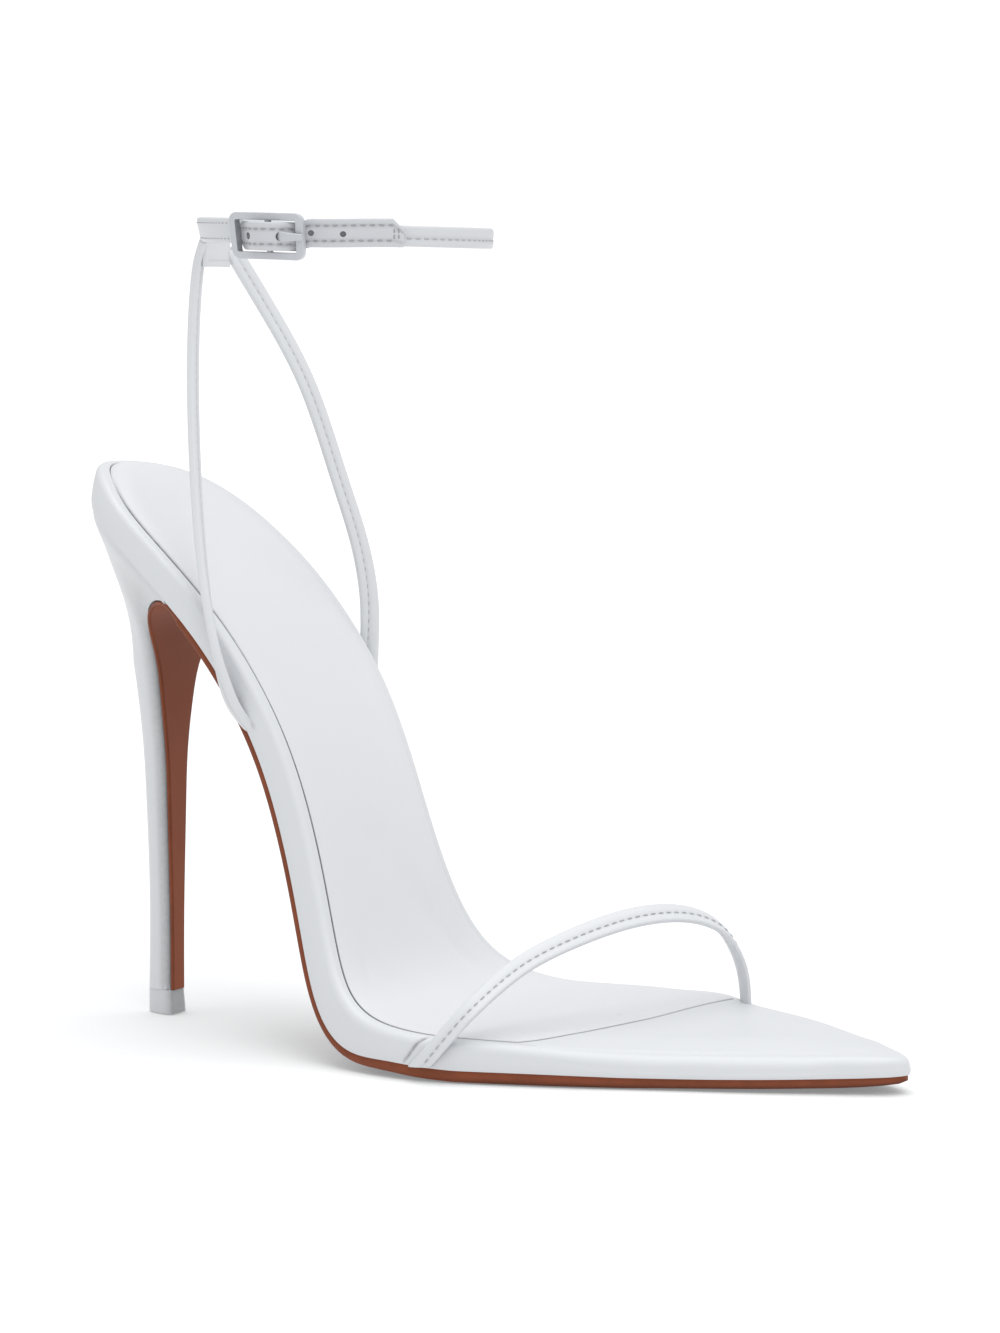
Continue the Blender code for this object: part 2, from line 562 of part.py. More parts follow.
def make_heel(last):
    """Covered stiletto heel: upright D-sections, then sections that tilt and flare into the heel seat."""
    shell = Shell()
    seat = heel_seat(last)
    path, half_width = breast_path(np.array(HEEL_BREAST_START), -seat[0, 1])
    t = path.spread(RUN_SAMPLES)
    front = path.at(t) - breast_face(path, t)[:, [0, 2]] * GAP
    width = half_width.at(t)[:, 0]
    table = np.array(HEEL_SECTIONS, float)
    depth = SmoothCurve(table[:, 1], knots=table[:, 0])
    sections = []
    heights = [np.linspace(*ends, HEEL_RINGS) for ends in (HEEL_SHAFT_Z, HEEL_SWELL_Z)]
    for z in np.concatenate(heights):
        x = np.interp(z, front[::-1, 1], front[::-1, 0])
        sections.append(heel_section(z, x, np.interp(z, front[::-1, 1], width[::-1]), depth.at(z)[0]))
    neck = sections[-1]
    top = seat - np.array([0.0, 0.0, HEEL_LIP])
    first = np.flatnonzero(front[:, 1] > HEEL_NECK_Z)[-1]
    last_place = np.flatnonzero(front[:, 0] > top[0, 0])[-1]
    for k in range(1, HEEL_FLARE_RINGS + 1):
        share = k / HEEL_FLARE_RINGS
        place = int(round(first + (last_place - first) * share))
        flare = share**HEEL_FLARE_POWER
        corner = np.array([front[place, 0], 0.0, front[place, 1]])
        shape = (neck - [neck[0, 0], 0, neck[0, 2]]) * (1 - flare) + (top - [top[0, 0], 0, 0]) * flare
        shape[:, 2] = (top[:, 2] - top[0, 2]) * share
        shape[:, 1] *= width[place] / np.abs(shape[0, 1])
        sections.append(shape + corner)
    sections.append(seat)
    rings = [shell.ring(section) for section in sections]
    for a, b in zip(rings, rings[1:]):
        shell.bridge(a, b)
    for ring in (rings[0], rings[-1]):
        cap_section(shell, ring)
    return shell.build("heel", WHITE_LEATHER)


def cap_section(shell, ring):
    """Closes a D-shaped section with strips from its lateral to its medial side."""
    middle = HEEL_BACK_POINTS // 2
    left = ring[:middle]
    right = ring[middle:HEEL_BACK_POINTS][::-1]
    for k in range(len(left) - 1):
        shell.faces.append((left[k], left[k + 1], right[k + 1], right[k]))
    shell.faces.append((*ring[HEEL_BACK_POINTS - 1:], ring[0]))


def make_top_piece():
    """Plastic cap under the heel, a little wider at the floor."""
    shell = Shell()
    breast_x, _, half_width = BREAST[-1]
    front = breast_x + SOLE_BREAST / 2
    depth = HEEL_SECTIONS[0][1] + SOLE_BREAST
    rings = []
    for z, swell in TOP_PIECE_STEPS:
        section = heel_section(z, front + swell, half_width + swell, depth + 2 * swell)
        rings.append(shell.ring(section))
    for a, b in zip(rings, rings[1:]):
        shell.bridge(a, b)
    for ring in (rings[0], rings[-1]):
        shell.faces.append(tuple(ring))
    return shell.build("top_piece", GREY_PLASTIC)


def route_frames(curve, count):
    """Places and travel directions at evenly spread stations of a route."""
    t = curve.spread(count)
    values, slopes = curve.at(t), curve.slope(t)
    return values[:, :3], unit(slopes[:, :3]), values[:, 3:]


def make_toe_strap():
    """Folded strap over the toes, from the lateral rim to the inner side of the footbed."""
    centre, along, turns = route_frames(SmoothCurve(TOE_STRAP_ROUTE), STRAP_STATIONS)
    heading, tilt = np.radians(turns[:, 0]), np.radians(turns[:, 1])
    level = np.cos(tilt)
    across = np.stack([-np.cos(heading) * level, -np.sin(heading) * level, np.sin(tilt)], -1)
    across = unit(across - along * np.sum(across * along, axis=1, keepdims=True))
    out = np.cross(across, along)
    return sweep("toe_strap", WHITE_LEATHER, centre, across, out, STRAP_WIDTH, STRAP_THICK, strap_section())


def sling_leg(name, route, side):
    """One leg of the sling, facing back at the ankle and sideways at the waist."""
    centre, along, turns = route_frames(SmoothCurve(route), STRAP_STATIONS)
    turn = np.radians(turns[:, 0])
    out = np.stack([-np.cos(turn), side * np.sin(turn), np.zeros(len(turn))], -1)
    out = unit(out - along * np.sum(out * along, axis=1, keepdims=True))
    across = np.cross(along, out)
    return sweep(name, WHITE_LEATHER, centre, across, out, SLING_WIDTH, STRAP_THICK, strap_section())


class AnkleLoop:
    """Ellipse that the ankle strap follows, measured along it from the buckle's bar to the front."""

    def __init__(self):
        turn = np.radians(np.linspace(-360, 450, 3 * RUN_SAMPLES))
        x = LOOP_CENTRE_X - LOOP_HALF_LENGTH * np.cos(turn)
        y = -LOOP_HALF_WIDTH * np.sin(turn)
        self.places = np.stack([x, y], -1)
        strides = np.linalg.norm(np.diff(self.places, axis=0), axis=1)
        self.run = np.concatenate([[0.0], np.cumsum(strides)])
        self.run -= np.interp(np.radians(BUCKLE_ANGLE), turn, self.run)
        normal = np.stack([-np.cos(turn) / LOOP_HALF_LENGTH, -np.sin(turn) / LOOP_HALF_WIDTH], -1)
        self.normals = unit(normal)
        self.turn = turn

    def run_at(self, degrees):
        """Distance along the loop at an angle from its back."""
        return float(np.interp(np.radians(degrees), self.turn, self.run))

    def at(self, along, out, up=0.0):
        """Points at a distance along the loop, out from it and up from its middle height."""
        along = np.asarray(along, float)
        place = np.stack([np.interp(along, self.run, self.places[:, k]) for k in (0, 1)], -1)
        normal = self.normal(along)[..., :2]
        out = np.asarray(out, float) + LOOP_FLARE * (1 - normal[..., 0]) / 2 * up
        plan = place + normal * out[..., None]
        fall = LOOP_LEAN * (place[..., 0] - LOOP_CENTRE_X + LOOP_HALF_LENGTH) + LOOP_ROLL * place[..., 1]
        dip = BUCKLE_DROP * (1 - ease((np.abs(along) - BUCKLE_DIP) / BUCKLE_DIP))
        z = LOOP_BACK_Z - fall - dip + up
        return np.concatenate([plan, z[..., None]], -1)

    def normal(self, along):
        """Outward direction at a distance along the loop."""
        parts = [np.interp(along, self.run, self.normals[:, k]) for k in (0, 1)]
        return np.stack([*parts, np.zeros_like(parts[0])], -1)


def band(name, loop, along, out, width, thick):
    """Strap that stands on edge along the loop and follows the given distances out from it."""
    centre = loop.at(along, out)
    travel = unit(np.gradient(centre, axis=0))
    up = unit(loop.at(along, out, 1.0) - centre)
    face = unit(np.cross(travel, up))
    return sweep(name, WHITE_LEATHER, centre, up, face, width, thick, strap_section())


def make_ankle_strap(loop):
    """Narrow strap from under the billet round the front, inner side and back to the buckle's bar."""
    turn_once = loop.run_at(BUCKLE_ANGLE) - loop.run_at(BUCKLE_ANGLE - 360)
    chape = SmoothCurve(CHAPE_ROUTE)
    end = chape.at(chape.spread(CHAPE_STATIONS))
    start = np.linspace(STRAP_UNDER_BILLET - turn_once, end[0, 0], ANKLE_STATIONS)[:-1]
    along = np.concatenate([start, end[:, 0]])
    out = np.concatenate([np.zeros(len(start)), end[:, 1]])
    to_chape = ease((along - loop.run_at(0) + CHAPE_FROM) / CHAPE_RUN)
    width = NARROW_WIDTH + (CHAPE_WIDTH - NARROW_WIDTH) * to_chape
    station = np.arange(len(along)) - len(start)
    thick = ANKLE_THICK + (SKIVED_THICK - ANKLE_THICK) * ease(station / SKIVE_STATIONS)
    strap = band("ankle_strap", loop, along, out, width, thick)
    cut_prong_slot(strap, loop)
    return strap


def make_billet(loop):
    """Punched strap sewn over the narrow one, through the buckle and on to its tip."""
    route = SmoothCurve(BILLET_ROUTE)
    places = route.at(route.spread(BILLET_STATIONS))
    from_tip = places[:, 0] - BILLET_TIP
    width = BILLET_WIDTH * np.sqrt(np.clip(from_tip / BILLET_TIP_ROUND, BILLET_TIP_BLUNT, 1.0))
    billet = band("ankle_billet", loop, places[:, 0], places[:, 1], width, BILLET_THICK)
    for k in HOLE_ROW:
        radius = PRONG_HOLE_RADIUS if k == 0 else HOLE_RADIUS
        punch(billet, loop, f"hole_{k}", PRONG_HOLE_AT + HOLE_PITCH * k, radius)
    return billet


def subtract(piece, cutter):
    """Cuts a hidden shape out of a piece."""
    cutter.hide_render = True
    cutter.display_type = "WIRE"
    cut = piece.modifiers.new(cutter.name, "BOOLEAN")
    cut.operation = "DIFFERENCE"
    cut.object = cutter


def cut_prong_slot(piece, loop):
    """Cuts the box-shaped slot for the prong out of the chape."""
    shell = Shell()
    outs = np.array([SLOT_OUT[0], SLOT_OUT[1], SLOT_OUT[1], SLOT_OUT[0]])
    ups = SLOT_HALF_HEIGHT * np.array([-1, -1, 1, 1])
    rings = [shell.ring(loop.at(np.full(4, along), outs, ups)) for along in SLOT_ALONG]
    shell.bridge(*rings)
    shell.faces += [tuple(rings[0]), tuple(rings[1])]
    subtract(piece, shell.build("prong_slot", WHITE_LEATHER))


def punch(piece, loop, name, along, radius):
    """Punches a round hole through a strap, square to the loop."""
    middle, out = loop.at(along, 0.0), loop.normal(along)
    centre = middle + np.array(HOLE_REACH)[:, None] * out
    sideways = unit(np.cross(out, [0.0, 0.0, 1.0]))
    across = np.broadcast_to(sideways, (2, 3))
    up = np.broadcast_to([0.0, 0.0, 1.0], (2, 3))
    cutter = sweep(name, WHITE_LEATHER, centre, across, up, 2 * radius, 2 * radius, round_section(HOLE_SIDES))
    subtract(piece, cutter)


def frame_out(along):
    """How far out the buckle's frame lies: low at its bar, raised at both sides."""
    share = along / BUCKLE_HALF_LENGTH
    mean = (SIDE_OUT_FRONT + SIDE_OUT_BACK) / 2
    return BAR_OUT + (mean - BAR_OUT) * share**2 + (SIDE_OUT_FRONT - SIDE_OUT_BACK) / 2 * share


def make_buckle_frame(loop):
    """Rounded rectangular frame, bowed to the ankle, with a centre bar."""
    length, height, corner = BUCKLE_HALF_LENGTH, BUCKLE_HALF_HEIGHT, BUCKLE_CORNER
    outline = []
    for k, (sx, sz) in enumerate([(1, 1), (-1, 1), (-1, -1), (1, -1)]):
        angle = np.radians(90 * k + np.array([0, 22.5, 45, 67.5, 90]))
        middle = np.array([sx * (length - corner), sz * (height - corner)])
        outline.append(middle + corner * np.stack([np.cos(angle), np.sin(angle)], -1))
        if k in (0, 2):
            rail = np.linspace(sx * (length - corner), -sx * (length - corner), RAIL_STATIONS)[1:-1]
            outline.append(np.stack([rail, np.full(len(rail), sz * height)], -1))
    outline = np.concatenate(outline)
    inward = np.stack([np.roll(outline[:, 1], -1) - np.roll(outline[:, 1], 1),
                       np.roll(outline[:, 0], 1) - np.roll(outline[:, 0], -1)], -1)
    inward = unit(inward)
    shell = Shell()
    rings = []
    section = FRAME_FULLNESS * round_section(FRAME_SIDES) * [FRAME_WIDTH, FRAME_THICK]
    for side, face in section:
        edge = outline + inward * side
        rings.append(shell.ring(loop.at(edge[:, 0], frame_out(outline[:, 0]) + face, edge[:, 1])))
    for a, b in zip(rings, rings[1:] + rings[:1]):
        shell.bridge(a, b)
    frame = shell.build("buckle_frame", PAINTED_METAL)
    ends = loop.at(np.zeros(2), np.full(2, BAR_OUT), np.array([-height, height]))
    sideways = np.broadcast_to(unit(np.cross(loop.normal(0.0), [0.0, 0.0, 1.0])), (2, 3))
    out = np.broadcast_to(loop.normal(0.0), (2, 3))
    size = 2 * BAR_RADIUS
    bar = sweep("buckle_bar", PAINTED_METAL, ends, sideways, out, size, size, round_section())
    unite(frame, bar)
    return frame


def unite(piece, other):
    """Joins a hidden shape to a piece as one solid."""
    other.hide_render = True
    other.display_type = "WIRE"
    join = piece.modifiers.new(other.name, "BOOLEAN")
    join.operation = "UNION"
    join.object = other


def make_prong(loop):
    """Prong bent round the bar, up through its hole and on to the frame's front side."""
    angle = np.radians(np.linspace(*PRONG_EYE_TURN, PRONG_EYE_POINTS))
    eye = np.stack([PRONG_EYE * np.cos(angle), BAR_OUT + PRONG_EYE * np.sin(angle)], -1)
    route = SmoothCurve(np.vstack([eye, PRONG_ROUTE]))
    places = route.at(route.spread(PRONG_STATIONS))
    centre = loop.at(places[:, 0], places[:, 1])
    travel = unit(np.gradient(centre, axis=0))
    up = np.broadcast_to([0.0, 0.0, 1.0], centre.shape)
    out = unit(np.cross(travel, up))
    from_tip = np.arange(PRONG_STATIONS)[::-1] / PRONG_TAPER_STATIONS
    size = 2 * PRONG_RADIUS * (PRONG_TIP + (1 - PRONG_TIP) * np.clip(from_tip, 0, 1))
    return sweep("buckle_prong", PAINTED_METAL, centre, up, out, size, size, round_section(FRAME_SIDES))


def make_sling(loop):
    """Both legs of the sling joined in the tab sewn inside the back of the ankle strap."""
    outer = -ANKLE_THICK / 2 - GAP
    outs = outer - TAB_THICK * np.array([1, 0, 0, 1])
    ups = np.array([TAB_FOOT, TAB_FOOT, TAB_TOP, TAB_TOP])
    back_run = loop.run_at(0)
    shell = Shell()
    rings = []
    for along in np.linspace(back_run + TAB_ENDS[0], back_run + TAB_ENDS[1], TAB_STATIONS):
        rings.append(shell.ring(loop.at(np.full(4, along), outs, ups)))
    for a, b in zip(rings, rings[1:]):
        shell.bridge(a, b)
    shell.faces += [tuple(rings[0]), tuple(rings[-1])]
    tab = shell.build("sling_straps", WHITE_LEATHER)
    unite(tab, sling_leg("sling_lateral", SLING_LATERAL_ROUTE, -1))
    unite(tab, sling_leg("sling_medial", SLING_MEDIAL_ROUTE, 1))
    return tab


def centre_on_floor(pieces):
    """Carries all pieces on one empty to the middle of their box, on the floor."""
    bpy.context.view_layer.update()
    corners = np.concatenate([np.array(piece.bound_box) for piece in pieces])
    low, high = corners.min(axis=0), corners.max(axis=0)
    shoe = bpy.data.objects.new("shoe", None)
    bpy.context.scene.collection.objects.link(shoe)
    shoe.location = (-(low[0] + high[0]) / 2, -(low[1] + high[1]) / 2, 0.0)
    for piece in list(bpy.context.scene.collection.objects):
        if piece is not shoe:
            piece.parent = shoe


def main():
    """Builds the sandal from the sole upwards."""
    for old in list(bpy.data.objects):
        bpy.data.objects.remove(old)
    last, loop = Last(), AnkleLoop()
    pieces = [make_outsole(last), make_heel(last), make_top_piece(), make_footbed(last), make_insole(last)]
    pieces += [make_toe_strap(), make_sling(loop), make_ankle_strap(loop), make_billet(loop)]
    pieces += [make_buckle_frame(loop), make_prong(loop)]
    centre_on_floor(pieces)


main()
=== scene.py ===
"""Looks of the white ankle strap sandal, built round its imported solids.

Sizes are in millimetres in the shoemaker's frame: X runs from the middle of the heel tip to the toe, Y to the inner
(medial) side and Z up from the floor. Piece.build carries them into the part's own frame, in metres.
"""
import logging
from collections.abc import Sequence
from dataclasses import dataclass, field, replace
from enum import Enum

import bmesh
import bpy
import numpy as np
from bpy.types import Material, Node, NodeOutputs, NodeSocket, NodeTree, Object
from mathutils import Matrix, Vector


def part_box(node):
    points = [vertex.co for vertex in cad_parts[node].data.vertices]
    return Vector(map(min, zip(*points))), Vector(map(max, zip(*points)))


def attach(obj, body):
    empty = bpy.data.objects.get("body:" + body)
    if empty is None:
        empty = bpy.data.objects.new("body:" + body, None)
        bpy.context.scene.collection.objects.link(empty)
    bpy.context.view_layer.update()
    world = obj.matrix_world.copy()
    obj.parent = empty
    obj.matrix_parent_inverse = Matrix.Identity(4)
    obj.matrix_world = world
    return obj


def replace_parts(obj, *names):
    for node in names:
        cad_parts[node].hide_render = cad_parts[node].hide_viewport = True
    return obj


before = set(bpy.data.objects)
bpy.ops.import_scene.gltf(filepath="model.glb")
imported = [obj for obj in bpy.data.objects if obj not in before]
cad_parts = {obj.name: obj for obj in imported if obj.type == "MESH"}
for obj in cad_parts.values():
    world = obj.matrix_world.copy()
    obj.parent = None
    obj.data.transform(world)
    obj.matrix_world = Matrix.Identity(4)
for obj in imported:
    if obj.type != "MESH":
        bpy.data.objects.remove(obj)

Array = np.ndarray
Table = Sequence[Sequence[float]]
Colour = tuple[float, float, float]
Place = tuple[float, float, float]
Span = tuple[float, float]  # a start and a run, or two ends

MM = 0.001
WELD = 1.5e-6  # metres: points closer than this are one point
GAP = 0.3  # clearance between pieces that touch
JOINT = 0.04  # what is left of it where two pieces are glued
KNOT_POWER = 0.6  # knots spread by chord length to this power keep curves from bulging
RUN_SAMPLES = 900  # fine steps that measure the length of a curve
LEVEL_RUN = 40.0  # the rigid buckle keeps one height over this length
SHARP_DEGREES = 50.0  # edges that turn by more than this are shaded sharp
PORE_FINENESS = 2.6  # pores to a pebble of the grain
TONE_SHARES = (0.7, 0.3)  # of the slow and the quick changes of tone
PAINTED_SHADE_BREAK = 0.6  # how far noise breaks up the painted shade
# share of the painted shade kept where the noise is lowest
PAINTED_SHADE_LEAST = 0.7
TINY = 1e-12  # keeps a direction from being zero
LOG = logging.getLogger("sandal")


def ease(t: Array) -> Array:
    """Smooth step from 0 to 1."""
    t = np.clip(t, 0.0, 1.0)
    return t * t * (3 - 2 * t)


def unit(vectors: Array) -> Array:
    """Vectors scaled to length 1."""
    return vectors / np.linalg.norm(vectors, axis=-1, keepdims=True)


def square_to(vectors: Array, along: Array) -> Array:
    """Vectors with their share along the given directions taken out, at length 1."""
    return unit(vectors - along * np.sum(vectors * along, axis=-1, keepdims=True))


def ramp(value: Array, start: float, run: float) -> Array:
    """Smooth step that starts at one value and reaches 1 a given run further on."""
    return ease((value - start) / run)


def blend(first: Array, second: Array, share: Array | float) -> Array:
    """Straight mix: the first where the share is 0 and the second where it is 1."""
    return first * (1 - share) + second * share


def length_along(line: Array) -> Array:
    """Length along a line from its start to each of its points."""
    return np.concatenate([[0.0], np.cumsum(np.linalg.norm(np.diff(line, axis=0), axis=1))])


def points_on(line: Array, run: Array, place: Array) -> Array:
    """Points at given lengths along a line, from the length at each of its own points."""
    return np.stack([np.interp(place, run, column) for column in line.T], -1)


def read_off(table: Table, x: Array | float) -> Array:
    """Second column of a table where its first is x, straight between its rows."""
    return np.interp(x, *np.array(table, float).T)


def round_turn(count: int) -> Array:
    """Angles of evenly spread points round a full turn."""
    return 2 * np.pi * np.arange(count) / count


class SmoothCurve:
    """Cubic curve through given points whose bends match at every point, open or closed."""

    def __init__(self, points: Table | Array, knots: Sequence[float] | None = None, closed: bool = False) -> None:
        """Solves the tangents that give equal second derivatives on both sides of every point.

        Args:
            points: values to pass through, one row for each.
            knots: parameter at each point, or chord length to KNOT_POWER where it is left out.
            closed: whether the last point runs on into the first.
        """
        points = np.asarray(points, float)
        points = points[:, None] if points.ndim == 1 else points
        if closed:
            points = np.vstack([points, points[:1]])
        if knots is None:
            strides = np.linalg.norm(np.diff(points, axis=0), axis=1) ** KNOT_POWER
            knots = np.concatenate([[0.0], np.cumsum(strides)])
        self.points, self.knots = points, np.asarray(knots, float)
        self.steps = np.diff(self.knots)
        self.tangents = self._tangents(closed)

    @classmethod
    def of_table(cls, table: Table) -> "SmoothCurve":
        """Curve of a table's second column against its first."""
        knots, values = np.array(table, float).T
        return cls(values, knots=knots)

    def _tangents(self, closed: bool) -> Array:
        """Solves the tangents from one linear system with a row for each point.

        Args:
            closed: whether the last point runs on into the first.

        Returns:
            Tangents, one for each point.
        """
        count, step = len(self.points), self.steps
        rise = np.diff(self.points, axis=0) / step[:, None]
        rows = np.zeros((count, count))
        right = np.zeros_like(self.points)
        inner = np.arange(1, count - 1)
        rows[inner, inner - 1], rows[inner, inner + 1] = step[1:], step[:-1]
        rows[inner, inner] = 2 * (step[:-1] + step[1:])
        right[1:-1] = 3 * (step[1:, None] * rise[:-1] + step[:-1, None] * rise[1:])
        if closed:
            rows[0, 0], rows[0, -1] = 1, -1
            rows[-1, [0, 1, -2]] = 2 * (step[-1] + step[0]), step[-1], step[0]
            right[-1] = 3 * (step[0] * rise[-1] + step[-1] * rise[0])
        else:
            rows[0, :2], rows[-1, -2:] = (2, 1), (1, 2)
            right[0], right[-1] = 3 * rise[0], 3 * rise[-1]
        return np.linalg.solve(rows, right)

    def _pieces(self, t: Array) -> tuple[Array, ...]:
        """Finds the cubic piece at each parameter.

        Args:
            t: parameters, held to the curve's ends.

        Returns:
            The piece's step, the place in it from 0 to 1, its end points and its end tangents.
        """
        t = np.clip(np.asarray(t, float), self.knots[0], self.knots[-1])
        k = np.clip(np.searchsorted(self.knots, t, side="right") - 1, 0, len(self.steps) - 1)
        h = self.steps[k][..., None]
        u = (t - self.knots[k])[..., None] / h
        return h, u, self.points[k], self.points[k + 1], self.tangents[k], self.tangents[k + 1]

    def at(self, t: Array) -> Array:
        """Points of the curve, from the cubic Hermite formula.

        Args:
            t: parameters.

        Returns:
            Points, one for each parameter.
        """
        h, u, p, q, m, n = self._pieces(t)
        return ((2 * u**3 - 3 * u**2 + 1) * p + (u**3 - 2 * u**2 + u) * h * m
                + (3 * u**2 - 2 * u**3) * q + (u**3 - u**2) * h * n)

    def slope(self, t: Array) -> Array:
        """Derivatives of the curve at the parameters t."""
        h, u, p, q, m, n = self._pieces(t)
        return (6 * u**2 - 6 * u) * (p - q) / h + (3 * u**2 - 4 * u + 1) * m + (3 * u**2 - 2 * u) * n

    def spread(self, count: int) -> Array:
        """Evenly spread parameters from the first point to the last."""
        return np.linspace(self.knots[0], self.knots[-1], count)


class Mask(Enum):
    """Values kept at each point of a piece for its material."""

    SEAM = "seam"  # 1 where shade is painted: in sewn channels, grooves, creases, hidden faces and edges beside other parts
    RUB = "rub"  # 1 on an edge that is handled or rubbed


def heel_tip_origin() -> Array:
    """Place of the shoemaker's origin in the part's frame, from the top piece's box.

    Returns:
        The middle of the heel tip on the floor, in millimetres.
    """
    low, high = (np.array(corner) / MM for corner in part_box("top_piece"))
    return np.array([high[0] - HeelUnit.top_piece_front, (low[1] + high[1]) / 2, 0.0])


@dataclass
class Piece:
    """Grids of points that together make one closed piece."""

    name: str
    points: list[Array] = field(default_factory=list)
    quads: list[Array] = field(default_factory=list)
    masks: dict[Mask, list[Array]] = field(default_factory=lambda: {mask: [] for mask in Mask})
    count: int = 0

    def grid(self, points: Array, round_rows: bool = False, round_columns: bool = False,
             seam: Array | float = 0.0, rub: Array | float = 0.0) -> None:
        """Adds one grid, or a stack of equal grids, with a face between each four neighbours.

        Args:
            points: array of shape (rows, columns, 3), or (grids, rows, columns, 3).
            round_rows: whether the last row joins the first.
            round_columns: whether the last column joins the first.
            seam: mask of painted shade in sewn channels, grooves, creases and hidden faces, one value or one for each
                point.
            rub: mask of rubbed edges, in the same way.
        """
        shape = points.shape[:-1]
        index = self.count + np.arange(np.prod(shape)).reshape((-1, *shape[-2:]))
        if round_rows:
            index = np.concatenate([index, index[:, :1]], axis=1)
        if round_columns:
            index = np.concatenate([index, index[:, :, :1]], axis=2)
        corners = [index[:, :-1, :-1], index[:, 1:, :-1], index[:, 1:, 1:], index[:, :-1, 1:]]
        self.quads.append(np.stack(corners, -1).reshape(-1, 4))
        self.points.append(points.reshape(-1, 3))
        self.masks[Mask.SEAM].append(np.broadcast_to(seam, shape).ravel())
        self.masks[Mask.RUB].append(np.broadcast_to(rub, shape).ravel())
        self.count += int(np.prod(shape))

    def build(self, finish: "Finish", sharp_degrees: float = SHARP_DEGREES) -> Object:
        """Puts the grids into a mesh, welds their seams and poles and turns the faces outwards.

        Args:
            finish: what the piece is made of.
            sharp_degrees: edges that turn by more than this are shaded sharp.

        Returns:
            The object, at the origin, riding on the shoe's body.
        """
        mesh = bpy.data.meshes.new(self.name)
        quads = np.concatenate(self.quads)
        points = (np.concatenate(self.points) + heel_tip_origin()) * MM
        mesh.vertices.add(len(points))
        mesh.vertices.foreach_set("co", points.astype(np.float32).ravel())
        mesh.loops.add(quads.size)
        mesh.loops.foreach_set("vertex_index", quads.ravel().astype(np.int32))
        mesh.polygons.add(len(quads))
        mesh.polygons.foreach_set("loop_start", np.arange(0, quads.size, 4, dtype=np.int32))
        for mask, values in self.masks.items():
            layer = mesh.attributes.new(mask.value, "FLOAT", "POINT")
            layer.data.foreach_set("value", np.concatenate(values).astype(np.float32))
        mesh.update(calc_edges=True)
        work = bmesh.new()
        work.from_mesh(mesh)
        bmesh.ops.remove_doubles(work, verts=work.verts, dist=WELD)
        bmesh.ops.recalc_face_normals(work, faces=work.faces)
        open_edges = sum(not edge.is_manifold for edge in work.edges)
        work.to_mesh(mesh)
        work.free()
        mesh.shade_smooth()
        mesh.set_sharp_from_angle(angle=np.radians(sharp_degrees))
        piece = bpy.data.objects.new(self.name, mesh)
        bpy.context.scene.collection.objects.link(piece)
        finish.apply(piece)
        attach(piece, "root")
        LOG.info("%s: %d faces, %d open edges", self.name, len(mesh.polygons), open_edges)
        return piece


def grid_normals(points: Array, round_columns: bool) -> Array:
    """Directions square to a grid, from the cross product of its row and column differences.

    Args:
        points: array of shape (rows, columns, 3).
        round_columns: whether the last column joins the first.

    Returns:
        Unit vectors, one for each point.
    """
    down = np.gradient(points, axis=0)
    if round_columns:
        across = np.roll(points, -1, axis=1) - np.roll(points, 1, axis=1)
    else:
        across = np.gradient(points, axis=1)
    return unit(np.cross(down, across) + TINY)


def fill_rows(outline: Array, columns: int) -> Array:
    """Plan points on straight rows from one side of a closed outline to the other.

    Args:
        outline: closed outline of an even number of points, the first and the middle one on its ends.
        columns: points in each row.

    Returns:
        Array of shape (half + 1, columns, 2); the first and last rows are single points.
    """
    half = len(outline) // 2
    share = np.linspace(0, 1, columns)[:, None]
    other = np.concatenate([outline[:1], outline[:half - 1:-1]])
    return blend(outline[:half + 1, None], other[:, None], share)


def rounded_end(ring: Array, reach: Array, steps: int = 6) -> Array:
    """Rows that close a tube: the ring shrinks with the cosine of an angle and moves on with its sine.

    Args:
        ring: last ring of the tube.
        reach: vector from the ring's middle to the tip of the closed end.
        steps: rows from the ring to the tip.

    Returns:
        Array of shape (steps + 1, points, 3) that starts with the ring itself.
    """
    angle = np.linspace(0, np.pi / 2, steps + 1)[:, None, None]
    middle = ring.mean(axis=0)
    return middle + (ring - middle) * np.cos(angle) + reach * np.sin(angle)


@dataclass(frozen=True)
class Crease:
    """Soft trough or ridge along a line on the surface, pressed in with a bell-shaped section."""

    line: Table
    depth: float
    width: float
    dark: float = 0.0  # painted shade in its bottom

    def push(self, points: Array) -> Array:
        """How far each point moves inwards: depth times exp of minus the squared distance over width.

        Args:
            points: array of points, in millimetres.

        Returns:
            Depths in millimetres, one for each point.
        """
        line = np.asarray(self.line, float)
        start, span = line[:-1], np.diff(line, axis=0)
        offset = points[..., None, :] - start
        share = np.clip(np.sum(offset * span, -1) / np.sum(span * span, -1), 0, 1)
        distance = np.linalg.norm(offset - share[..., None] * span, axis=-1).min(axis=-1)
        return self.depth * np.exp(-(distance / self.width)**2)

    @staticmethod
    def together(creases: Sequence["Crease"], points: Array) -> tuple[Array, Array]:
        """All creases at once.

        Args:
            creases: the creases.
            points: array of points, in millimetres.

        Returns:
            Depths in millimetres, and painted shades from 0, one of each for each point.
        """
        push, dark = np.zeros(points.shape[:-1]), np.zeros(points.shape[:-1])
        for crease in creases:
            depth = crease.push(points)
            push = push + depth
            dark = np.maximum(dark, crease.dark * depth / crease.depth)
        return push, dark


